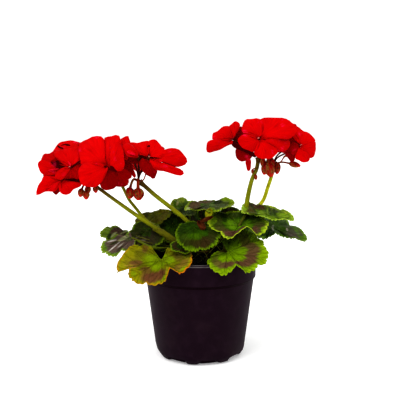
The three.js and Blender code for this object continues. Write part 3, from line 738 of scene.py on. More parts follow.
def rim_point(rim, at):
    """The point so many lobes round on a leaf's rim, which is given by its notches and its tips in turn."""
    k = min(int(2 * at), len(rim) - 2)
    t = 2 * at - k
    p1, p2 = Vector(rim[k]), Vector(rim[k + 1])
    p0 = Vector(rim[k - 1]) if k else 2 * p1 - p2
    p3 = Vector(rim[k + 2]) if k + 2 < len(rim) else 2 * p2 - p1
    bends = (2 * p0 - 5 * p1 + 4 * p2 - p3) * t**2 + (3 * p1 - p0 - 3 * p2 + p3) * t**3
    return p1 + ((p2 - p0) * t + bends) / 2


def ripple(leaf, order, at, angle, out, share):
    """How far a leaf's blade stands off its even form, as a share of its length."""
    edge = smoothstep(0.72, 1, share)
    spot = Vector((math.cos(angle) * out, math.sin(angle) * out, 0.37 * order))
    height = leaf.form[1] * out**2 * math.cos(FULL_TURN * at)
    height += 0.014 * out * math.cos(FULL_TURN * at * 3) * smoothstep(0.15, 0.6, share)
    height += edge * (0.012 * math.cos(FULL_TURN * TEETH * at) - 0.02)
    return height + 0.04 * out * noise.noise(spot * 5) + 0.014 * noise.noise(spot * 13) * share


def leaf_place(leaf, order):
    """Gives the point of a leaf's blade at a share of its reach, so many lobes round from its first notch."""
    cup = leaf.form[0]
    angles = evenly(leaf.lobes, leaf.gap)

    def tooth_share(at, share):
        between_teeth = 1 - abs(math.sin(math.pi * TEETH * at)) ** 0.8
        return 1 - TOOTH_DEPTH * leaf.teeth * smoothstep(0.7, 1, share) * between_teeth

    def place_by_rim(u, share):
        at = u * leaf.lobes
        out = share * tooth_share(at, share) * (1 + 0.06 * abs(math.sin(FULL_TURN * at)))
        height = cup * (share**1.6 - share) + ripple(leaf, order, at, 6.28 * u, 0.9 * out, share)
        return leaf.heart + rim_point(leaf.rim, at) * out + leaf.frame.col[2].xyz * (leaf.long * height)

    def place_by_lobes(u, share):
        at = u * leaf.lobes
        lobe = min(math.floor(at), leaf.lobes - 1)
        angle = math.radians(lerp(angles[lobe], angles[lobe + 1], at - lobe))
        behind = (1 - leaf.form[2]) * (abs(angle) / math.pi) ** 1.5
        outline = (1 - behind) * (1 - leaf.cut * (1 - abs(math.sin(math.pi * at)) ** 0.7))
        out = share * outline * tooth_share(at, share)
        height = cup * out**1.6 + 0.05 * out**2 * math.cos(2 * angle + 2.4 * order)
        height += ripple(leaf, order, at, angle, out, share)
        reach = leaf.long * out
        return leaf.frame @ Vector((reach * math.cos(angle), reach * math.sin(angle), leaf.long * height))

    return place_by_rim if leaf.rim else place_by_lobes


# How a leaf is coloured: its tones from the heart to the rim, the tone of its brown zone, of its veins
# (pale) and of its lit folds (light). band: where the zone lies, as shares of the leaf's reach. lobes: how
# strong the zone is on each lobe. edged: how strong the rim's tone is there, and edge: where it lies.
# shaded: how far each lobe is darkened. patches: more spots of the zone's tone, by lobe and share, with
# their half sizes and their strength.
PLAIN = {
    "heart": (70, 102, 0), "body": (50, 80, 0), "outer": (74, 102, 0), "rim": (144, 168, 34),
    "zone": (78, 56, 36), "pale": (112, 140, 30), "band": (0.45, 0.78), "lobes": [0.8] * 6, "edged": [0.7] * 6,
    "shaded": [0] * 6, "edge": (0.86, 0.985), "veins": 0.24, "patches": [],
}
LOOKS = {
    "front_left": {
        "heart": (124, 146, 2), "body": (112, 116, 2), "outer": (140, 138, 8), "rim": (206, 112, 20),
        "zone": (104, 64, 46), "pale": (150, 156, 20), "light": (160, 130, 60), "band": (0.44, 0.64),
        "lobes": [0.12, 0.15, 0, 0, 0, 0.1], "edged": [0, 0.4, 0.25, 0.35, 0.95, 0.1], "edge": (0.92, 1),
        "patches": [
            (1.38, 0.66, 0.26, 0.22, 0.25), (2.6, 0.54, 0.45, 0.16, 0.7), (3.2, 0.66, 0.62, 0.25, 1),
            (5.2, 0.5, 0.38, 0.18, 0.4), (4.7, 0.72, 0.4, 0.14, 0.6),
        ],
    },
    "front_right": {
        "heart": (116, 148, 0), "body": (114, 146, 0), "outer": (124, 152, 4), "rim": (140, 166, 12),
        "zone": (98, 64, 54), "pale": (134, 158, 20), "band": (0.46, 0.74),
        "lobes": [0.35, 1, 1, 1, 0.85, 0.05], "shaded": [0.1, 0, 0, 0, 0.25, 0.55],
    },
    "centre": {
        "heart": (64, 100, 0), "outer": (98, 128, 2), "rim": (110, 136, 10), "zone": (64, 50, 24),
        "light": (124, 154, 10), "band": (0.5, 0.84), "lobes": [0, 0.15, 0.8, 1, 0.3],
        "shaded": [0.5, 0.3, 0, 0, 0.5],
    },
    "middle_right": {
        "heart": (100, 136, 14), "body": (58, 90, 2), "outer": (120, 148, 22), "rim": (170, 190, 50),
        "zone": (96, 68, 54), "band": (0.5, 0.84), "lobes": [0.2, 0.35, 1, 0.95, 0.2, 0.1],
        "edged": [0.3, 1, 1, 1, 0.6, 0.3], "shaded": [0.3, 0, 0, 0, 0.1, 0.3],
    },
    "upper_right": {
        "body": (82, 112, 20), "outer": (130, 160, 40), "rim": (160, 186, 66), "zone": (86, 60, 36),
        "pale": (136, 164, 50), "light": (196, 212, 60), "band": (0.42, 0.82),
        "lobes": [1, 0.8, 0.1, 0.1, 0.2, 0.3], "edged": [0.8, 1, 1, 1, 0.8, 0.6], "veins": 0.5,
    },
    "far_right": {
        "body": (64, 98, 16), "outer": (92, 126, 30), "rim": (124, 154, 50), "zone": (104, 98, 84),
        "pale": (104, 134, 70), "light": (180, 176, 160), "band": (0.45, 0.86), "lobes": [0, 0, 0, 0.2, 1, 0.2],
        "shaded": [0.2, 0.3, 0.1, 0, 0, 0.1], "veins": 0.5,
    },
    "top_centre": {
        "outer": (116, 144, 8), "rim": (140, 158, 40), "zone": (92, 74, 50), "pale": (160, 156, 110),
        "light": (172, 180, 130), "band": (0.3, 0.8), "lobes": [1, 1, 0.7, 0.4, 0.2, 0.6], "veins": 0.4,
    },
    "top_left": {
        "heart": (74, 100, 10), "body": (80, 106, 14), "outer": (134, 156, 36), "rim": (140, 158, 50),
        "light": (156, 160, 104), "lobes": [0] * 6, "edged": [1] * 6, "shaded": [0, 0, 0, 0.4, 0.6],
        "veins": 0.4,
    },
    "olive_left": {
        "heart": (100, 108, 0), "body": (104, 112, 0), "outer": (104, 116, 4), "rim": (112, 112, 26),
        "zone": (84, 64, 12), "pale": (130, 130, 30), "light": (136, 142, 50),
        "lobes": [0.2, 0.3, 0.3, 0.4, 0.5, 0.3],
    },
    "low_left": {
        "heart": (100, 118, 64), "body": (88, 108, 48), "outer": (106, 140, 44), "zone": (112, 92, 86),
        "pale": (170, 178, 130), "light": (214, 214, 204), "band": (0.18, 0.8), "lobes": [1] * 6, "veins": 0.7,
    },
    "far_left": {
        "outer": (124, 154, 50), "zone": (104, 82, 74), "pale": (176, 190, 130), "light": (182, 200, 140),
        "band": (0.14, 0.62), "lobes": [0.3, 0.6, 1, 1, 0.6], "veins": 0.5,
    },
    "inner_left": {
        "zone": (80, 70, 50), "pale": (122, 126, 84), "light": (140, 134, 120), "band": (0.3, 0.8),
        "lobes": [0.3, 0.4, 0.7, 1, 0.7], "shaded": [0, 0, 0.2, 0.4, 0.6], "veins": 0.5,
    },
    "shade_left": {"body": (66, 92, 16), "lobes": [0.2] * 6, "shaded": [0.2, 0, 0, 0.2, 0.4]},
    "inner_right": {"shaded": [0.4] * 6},
    "inner_back": {"shaded": [0.6] * 6},
}


# Painted light and shade and spots on the leaves' faces: lit folds, shaded folds and hollows, and spots of the
# leaf's own tones. Each gives the middle as seen from the front, from the leaf's heart, the half sizes, the
# turn, the strength and the tone.
MARKS = {
    "upper_right": [
        (-4.5, -0.2, 4.5, 2.2, 5, 0.9, "outer"), (-6.5, 5, 5.5, 2.4, -8, 0.95, "zone"),
        (7.4, 4.1, 2.4, 1.1, -20, 1, "light"), (2, 0.5, 0.9, 3, -15, 0.7, "pale"),
        (10.5, -0.3, 4, 1.6, -10, 0.85, "dark"), (4.8, 0.5, 1, 3, 0, 0.75, "dark"),
        (15.4, 1.8, 4, 1, -25, 0.6, "pale"), (17, -1.9, 6.5, 2, -8, 0.9, "outer"),
        (4, -3, 6, 1.6, -8, 0.7, "outer"), (-2, -2.1, 4, 1.4, -10, 0.6, "outer"),
        (-20, 5.6, 3.5, 3.5, 0, 0.7, "outer"), (-12.7, 4.6, 5.5, 0.9, -57, 0.75, "dark"),
        (20.4, -0.1, 2, 0.6, -25, 0.5, "light"),
    ],
    "far_right": [
        (17, -2.8, 1.2, 1.3, 0, 0.9, "light"), (21.8, -7.8, 5.3, 2, -15, 0.9, "zone"),
        (27.5, -5.7, 3.1, 1, -40, 0.8, "pale"), (32.9, -11, 3.2, 1.7, -20, 0.7, "outer"),
        (1.7, -0.1, 2.1, 1.2, 30, 0.7, "light"), (-2.9, -5.2, 4.2, 3.1, 20, 0.4, "dark"),
        (14.8, 0.7, 5.2, 1.3, -15, 0.4, "dark"), (25.4, -2, 6.3, 1.5, -40, 0.7, "outer"),
        (5.5, -6.8, 6.3, 1.3, 5, 0.6, "outer"), (29.7, -9.4, 3.2, 1.3, -30, 0.6, "outer"),
    ],
    "middle_right": [
        (-6, 0.1, 5.8, 2.9, -15, 0.8, "heart"), (-14.3, 6.5, 2.9, 5.8, 20, 0.75, "dark"),
        (-24.5, 3.6, 3.4, 2.9, 0, 0.8, "outer"), (-9.9, 12, 6.8, 2.1, 0, 0.8, "dark"),
        (-5.9, -6.6, 10.7, 2.3, -6, 0.95, "zone"), (-16.4, -7.1, 1.8, 2.3, -30, 0.9, "outer"),
        (23.3, -3.8, 2.5, 2.5, 0, 0.95, "outer"), (15.5, -3.3, 2.9, 2.9, -30, 0.8, "zone"),
        (12.4, 8.5, 4.9, 2.3, 0, 0.8, "heart"), (6.6, 6.5, 3.9, 4.9, 0, 0.5, "dark"),
    ],
    "centre": [
        (-2.8, -6, 10.6, 2.9, 0, 0.25, "outer"), (-6.7, -2.1, 8.7, 2.1, 0, 0.45, "dark"),
        (10.7, -12.3, 4.8, 4.3, 0, 0.95, "zone"), (-3.8, -15.3, 5.8, 2.5, -8, 0.5, "outer"),
        (9.7, -18.2, 4.8, 1.1, 5, 0.8, "light"), (1, -17.7, 4.3, 1.3, 0, 0.8, "outer"),
    ],
    "top_centre": [
        (19.1, 4.5, 5.5, 2.4, 0, 0.9, "outer"), (11.1, 1.6, 5, 1.3, 8, 0.9, "dark"),
        (-1, 3.7, 5, 0.8, 12, 0.9, "light"), (2, 2.1, 3.4, 0.9, 18, 0.8, "zone"),
        (-12.1, 0.4, 5, 1.3, 10, 0.9, "zone"), (-17.6, -3, 3.5, 1.3, -10, 0.8, "light"),
        (-4, -1, 6, 0.9, 12, 0.6, "dark"), (4, -2.2, 4, 1.2, 8, 0.8, "outer"),
        (-12.6, 3.6, 3, 1.2, 0, 0.8, "outer"),
    ],
    "top_left": [
        (-2.7, -1.6, 4.7, 2.7, 0, 0.9, "dark"), (-8.9, 4.2, 3.3, 1.4, 70, 0.7, "light"),
        (-5.3, 5, 3.8, 1.9, -10, 0.95, "outer"), (-2.1, 6.8, 5.2, 1.9, -15, 0.6, "outer"),
    ],
    "olive_left": [
        (-10.5, 0, 1.9, 3.4, 0, 0.9, "dark"), (2.1, -1.6, 6.3, 2.1, 20, 0.3, "zone"),
        (9.4, -4.3, 6.3, 1.3, 42, 0.85, "light"), (-8.5, -8.7, 11.6, 0.9, 5, 0.8, "light"),
        (-6.4, -10.7, 10.5, 1.1, 5, 0.6, "zone"),
    ],
    "inner_left": [
        (-5.7, -2, 5, 2, 35, 0.7, "dark"), (-2.8, -7.3, 4, 1, 10, 0.7, "light"),
        (-9.8, -5.6, 3.4, 0.9, 30, 0.6, "light"), (5.4, -2.5, 1.4, 4, 0, 0.6, "zone"),
    ],
    "low_left": [
        (-17.6, -7.6, 6.5, 0.5, 36, 0.8, "light"), (-11.6, -6.3, 4, 0.5, 38, 0.5, "light"),
        (-21, -3.1, 5, 0.6, 14, 0.7, "light"), (-9, -0.5, 6, 1.6, 22, 0.8, "pale"),
        (-18.5, -4.9, 5, 1.1, 24, 0.85, "dark"), (-11.2, -8.4, 5.5, 0.9, 38, 0.6, "dark"),
        (-5.1, -3.8, 5, 1.6, 40, 0.7, "zone"),
    ],
    "far_left": [
        (-11.3, 4.8, 6.1, 2.3, -5, 0.95, "zone"), (-5.2, 2.2, 5.1, 0.9, 25, 0.9, "light"),
        (-15.4, 0.3, 4.1, 1.1, 35, 0.85, "light"), (-15.3, 8.3, 6.1, 2, 0, 0.9, "outer"),
        (-17.3, 7.9, 4.6, 1.2, 5, 0.6, "light"), (-20.9, 5.1, 2.6, 1.6, -30, 0.8, "outer"),
        (-19.5, -1.1, 2.2, 2.4, 0, 0.85, "dark"), (-8.3, 0.1, 6.1, 0.9, 22, 0.8, "zone"),
    ],
    "front_left": [
        (-16.8, 7.8, 3.3, 2.8, 20, 0.6, "zone"), (-28.3, -4.5, 7.5, 0.5, 4, 0.8, "light"),
        (-24.5, -2.6, 7.1, 1.7, 3, 0.7, "zone"), (11.9, 8.8, 2.1, 2.3, 0, 0.5, "dark"),
        (23.6, 4.5, 3.2, 2.8, 0, 0.6, "body"), (-25.1, -9.5, 2.8, 2.3, 0, 0.6, "heart"),
        (21.7, -4.7, 3.8, 1.4, 25, 0.8, "heart"), (3.7, -12.9, 1.7, 3.8, -25, 0.7, "heart"),
    ],
    "front_right": [
        (-3.9, -1.2, 3.8, 1.5, 5, 0.55, "dark"), (3.7, 7.9, 6.7, 3.8, 0, 0.35, "dark"),
        (17, 9.8, 4.8, 4.8, 0, 0.35, "dark"), (0.9, -4.8, 9.6, 1.3, -3, 0.6, "outer"),
    ],
}


def vein_lines(from_vein, aside, v, main_width, twig_width):
    """The main veins, which run out along the lobes, and the slanting twigs between them."""
    main = 1 - (aside / (1.15 - v)).step(0.008, main_width)
    slant = ((v - aside * 1.5) * 5.5 + from_vein * 0.4).fraction()
    return main, 1 - abs(slant - 0.5).step(0.03, twig_width)


def leaf_finish(leaf):
    looks = {**PLAIN, **LOOKS.get(leaf.name, {})}
    looks.setdefault("light", looks["pale"])
    tones = {name: paint(*looks[name]) for name in ("heart", "body", "outer", "rim", "zone", "pale", "light")}
    # dark is the tone of the painted shade among the marks; deep darkens the mottling and paints the shade in
    # the folds.
    deep, tones["dark"] = [[c * share for c in tones["body"][:3]] + [1] for share in (0.5, 0.3)]
    finish = Finish("leaf_" + leaf.name, Roughness=0.5, Specular_IOR_Level=0.06)
    u, v = finish.uv()
    at = u * float(leaf.lobes)

    def by_lobe(values):
        shades = list(enumerate(values[:leaf.lobes]))
        return finish.ramp(u, [((i + 0.5) / leaf.lobes, (value, value, value, 1)) for i, value in shades])

    from_vein = abs(at.fraction() - 0.5)
    aside = from_vein * v * (math.radians(325) / leaf.lobes)
    rays = finish.streaks(at * 8.0, v * 1.6, 3.0 + leaf.lobes)
    fine = finish.streaks(at * 24.0, v * 5.0, 1.0)
    mottle = finish.grain(5, 4.0)
    ragged = v + (rays - 0.5) * 0.16 + (fine - 0.5) * 0.08 - from_vein * 0.24 + 0.04
    low, high = looks["band"]
    zone = ragged.step(low - 0.07, low + 0.05) * (1 - ragged.step(high - 0.05, high + 0.09))
    zone = zone * by_lobe(looks["lobes"])
    for spot, share, half, depth, strength in looks["patches"]:
        off = (abs(at - spot) / half) ** 2.0 + (abs(ragged - share) / depth) ** 2.0
        zone = zone.most((1 - off.step(0.35, 1.3)) * strength)
    tone = finish.mix(ragged.step(0.28, low + 0.03), tones["heart"], tones["body"])
    tone = finish.mix(ragged.step(high - 0.05, high + 0.1), tone, tones["outer"])
    tone = finish.mix((mottle * 0.6 + fine * 0.4).step(0.42, 0.68) * 0.4, tone, deep)
    # Painted shade in the creases midway between the veins, over the middle of the blade.
    fold_shade = from_vein.step(0.25, 0.5) * v.step(0.3, 0.7) * (1 - v.step(0.9, 1))
    tone = finish.mix(fold_shade * 0.3, tone, deep)
    tone = finish.mix(zone * 0.92, tone, tones["zone"])
    right = finish.along("X") + (fine - 0.5) * (1.2 * MM)
    up = finish.along("Z") + (rays - 0.5) * (1.2 * MM)
    for middle, height, wide, high, turn, strength, key in MARKS.get(leaf.name, []):
        c, s = math.cos(math.radians(turn)), math.sin(math.radians(turn))
        x, z = right - (leaf.heart.x + middle) * MM, up - (leaf.heart.z + height) * MM
        off = ((x * c + z * s) / (wide * MM)) ** 2.0 + ((z * c - x * s) / (high * MM)) ** 2.0
        tone = finish.mix((1 - off.step(0.3, 1.5)) * strength, tone, tones[key])
    edge = (v + (fine - 0.5) * 0.08).step(*looks["edge"])
    tone = finish.mix(edge * by_lobe(looks["edged"]), tone, tones["rim"])
    main, twigs = vein_lines(from_vein, aside, v, 0.03, 0.1)
    veins = main.most(twigs * aside.step(0.02, 0.06) * 0.5)
    light = veins.most(rays.step(0.56, 0.72) * 0.8)
    tone = finish.mix(light * (1 - zone * 0.6) * looks["veins"], tone, tones["pale"])
    in_shade = finish.mix(0.72, tone, paint(4, 10, 0))
    finish.feed("Base Color", finish.mix(by_lobe(looks["shaded"]), tone, in_shade))
    finish.feed("Roughness", mottle * 0.2 + veins * 0.1 + 0.38)
    finish.relief(mottle * 0.5 + fine * 0.6 + rays * 0.9 - veins * 1.1, 1.6)
    return finish


def underside_finish(count):
    finish = Finish(f"leaf_underside_{count}", Roughness=0.62, Specular_IOR_Level=0.25)
    u, v = finish.uv()
    from_vein = abs((u * float(count)).fraction() - 0.5)
    main, twigs = vein_lines(from_vein, from_vein * v, v, 0.035, 0.12)
    veins = main.most(twigs * 0.6)
    mottle = finish.grain(5, 4.0)
    tone = finish.mix(mottle.step(0.3, 0.7), paint(66, 88, 34), paint(86, 108, 46))
    tone = finish.mix(v.step(0.93, 0.99), tone, paint(120, 130, 40))
    finish.feed("Base Color", finish.mix(veins * 0.6, tone, paint(128, 146, 78)))
    finish.relief(veins + mottle * 0.3, 0.4, 0.8)
    return finish


def make_leaves():
    undersides = {count: underside_finish(count) for count in sorted({leaf.lobes for leaf in ALL_LEAVES})}
    for order, leaf in enumerate(ALL_LEAVES):
        round_rim = leaf.lobes * TEETH * TOOTH_STEPS
        blade = shaped_grid("blade_" + leaf.name, round_rim, BLADE_ROWS, leaf_place(leaf, order))
        close(blade, outwards=False, flip=True)
        dress(blade, leaf_finish(leaf), undersides[leaf.lobes])
        apply(blade, "SOLIDIFY", thickness=BLADE_THICKNESS * MM, offset=0, material_offset=1)
        nodes = ["leaf_" + leaf.name] if leaf in LEAVES else []
        place_piece(smooth(blade, 60), "leaf", *nodes)


# The papery bracts at the top of the middle stem: the skin, the foot, the tip, the width and the way that
# the face looks.
BRACTS = [
    ("brown", (4.2, -37, 134.2), (-1.8, -36, 143.2), 5.2, (-95, 20)),
    ("brown", (4.8, -35, 134.9), (1.9, -34, 144.5), 4.2, (-75, 20)),
    ("brown", (-0.5, -34, 141.5), (13.1, -30, 146.2), 3.4, (-85, 30)),
    ("yellow", (7.2, -26, 145.2), (10.7, -20, 152.6), 7, (-95, 15)),
]
BRACT_THICKNESS = 0.3


def bract_finish(name, low, high):
    finish = Finish(name, Roughness=0.7, Specular_IOR_Level=0.1)
    u, v = finish.uv()
    ribs = finish.streaks(u * 14.0, v * 2.0)
    tone = finish.mix(ribs.step(0.35, 0.65), low, high)
    spots = finish.grain(3, 3.0)
    finish.feed("Base Color", finish.mix(spots.step(0.5, 0.7) * 0.6, tone, paint(34, 14, 8)))
    finish.relief(ribs + spots, 0.6, 0.8)
    return finish


def bract_place(foot, tip, wide, face):
    z = facing(*face)
    side = (tip - foot).cross(z).normalized()

    def place(u, v):
        t = 2 * u - 1
        across = wide / 2 * t * math.sin(math.pi * (0.15 + 0.8 * v)) ** 0.8
        height = 0.22 * wide * (t * t - 1) + 1.5 * math.sin(5 * v + 2 * t)
        return foot.lerp(tip, v) + side * across + z * height

    return place


def make_bracts():
    skins = {
        "brown": bract_finish("bract_brown", paint(62, 32, 8), paint(104, 52, 20)),
        "yellow": bract_finish("bract_yellow", paint(102, 114, 8), paint(170, 160, 20)),
    }
    bracts = []
    for skin, foot, tip, wide, face in BRACTS:
        bract = shaped_grid("bract", 10, 16, bract_place(Vector(foot), Vector(tip), wide, face))
        bracts.append(dress(bract, skins[skin]))
    bracts = close(join("bracts", bracts), outwards=False)
    apply(bracts, "SOLIDIFY", thickness=BRACT_THICKNESS * MM, offset=0)
    place_piece(smooth(bracts, 60), "leaf")


# Dry old leaf stalks that cross over the potting mix.
DRY_STALKS = [
    [(-11.4, -30, 100.2), (0.4, -36, 111.4), (16.9, -34, 122.9)],
    [(-0.6, -32, 101.6), (11.1, -40, 114.2), (21.9, -30, 125.1)],
    [(-9.7, -20, 109.1), (3.3, -30, 119.1), (15, -30, 126.1)],
    [(9.2, -34, 101.1), (5.3, -38, 111.8), (-3.6, -26, 118.3)],
    [(19, -30, 101.2), (20.8, -36, 112.4), (14.1, -30, 120.1)],
    [(-12.9, -10, 112.1), (-3.6, -24, 109.9), (6.2, -30, 101.2)],
    [(-68.5, -16, 122.5), (-49.3, -20, 118.2), (-29.1, -8, 112.8)],
    [(-63.9, -12, 123.8), (-49.8, -14, 120.1), (-32.6, 0, 114.3)],
]


def make_dry_stalks():
    thickness = between([(0, 0.5), (0.5, 0.42), (1, 0.3)])
    stalks = rods("dry_stalks", [smooth_line(line, 20) for line in DRY_STALKS], thickness, 6)
    place_piece(dress(smooth(stalks), stalk_finish("dry_stalk", paint(92, 92, 26), paint(70, 60, 24))), "stem")


# ---- Flower heads ----

# The flower stalks and their heads: the hub, the stalk's radius at its foot and its tip, its skin, how far
# from the hub it is browned, how many solids its florets stand for, the points that it passes and its buds.
# A bud has its middle, the way it points, its size, how long it is for its size, and where it grows from if
# that isn't the hub.
HEADS = [
    {
        "name": "left_outer", "hub": (-107, -12, 177), "radius": (2.1, 1.7), "skin": "olive", "browned": 46,
        "solids": 3,
        "stalk": [(-43, -11, 131), (-56, -13, 140), (-84, -13, 160)],
        "buds": [
            ((-115.7, -24, 168.6), (-120, -68), 1, 1), ((-110.3, -27, 166.7), (-70, -72), 1.05, 1),
            ((-109.6, -20, 171), (-90, -50), 0.95, 1), ((-101.8, -22, 171.6), (-60, -70), 0.82, 1),
        ],
    },
    {
        "name": "left_back", "hub": (-88, 14, 182), "radius": (1.7, 1.5), "skin": "olive", "browned": 20,
        "solids": 3,
        "stalk": [
            (-49, -11, 135.5), (-57.9, -4, 142.3), (-64.9, 2, 149.6), (-72.6, 8, 158), (-80.1, 13, 171.4),
        ],
        "buds": [],
    },
    {
        "name": "left_inner", "hub": (-61.6, -2, 178.1), "radius": (2.2, 2.1), "skin": "olive", "browned": 28,
        "solids": 3,
        "stalk": [
            (-5, -5, 131), (-17.9, -6.5, 142.8), (-29.6, -6, 152.1), (-45.8, -4.5, 164.7), (-54.8, -3, 172.6),
        ],
        "buds": [
            ((-69.4, -10, 166.6), (-100, -80), 1.36, 1), ((-60.9, -12, 165.6), (-70, -80), 1.7, 0.86),
            ((-49.4, -20, 189.7), (-20, 20), 0.5, 1.2),
        ],
    },
    {
        "name": "right_main", "hub": (59, 0, 202), "radius": (2.4, 2), "skin": "olive", "browned": 24,
        "solids": 6,
        "stalk": [(46, 3, 140), (48, 2, 158), (52.5, 1, 179), (57, 0, 190)],
        "buds": [
            ((52.9, -1.5, 187.6), (-125, -72), 0.45, 1.2, (56, 0, 190)),
            ((56.1, -1.8, 181.8), (-50, -78), 0.55, 1.2, (54.6, 0, 184.6)),
            ((62.9, -6, 196.5), (-60, -75), 0.9, 1.3),
        ],
    },
    {
        "name": "right_young", "hub": (75.5, 5, 195), "radius": (2, 1.9), "skin": "lime", "browned": 24,
        "solids": 1,
        "stalk": [(49, 9, 142), (62.6, 20, 151.5), (66.8, 22, 157.5), (69.9, 20, 168.2), (72.9, 16, 179)],
        "buds": [
            ((64.6, -8, 190.4), (-120, -78), 1.12, 1.25), ((69.3, -14, 189.8), (-40, -80), 1.55, 1.08),
            ((70.6, -5, 195), (-80, -75), 1.4, 1.2), ((77.4, -4, 190.5), (-100, -76), 1.06, 1.25),
            ((94.1, -12, 195.2), (-20, -12), 0.9, 1.55), ((86, -12, 204.3), (-30, 20), 0.4, 1.5),
        ],
    },
]


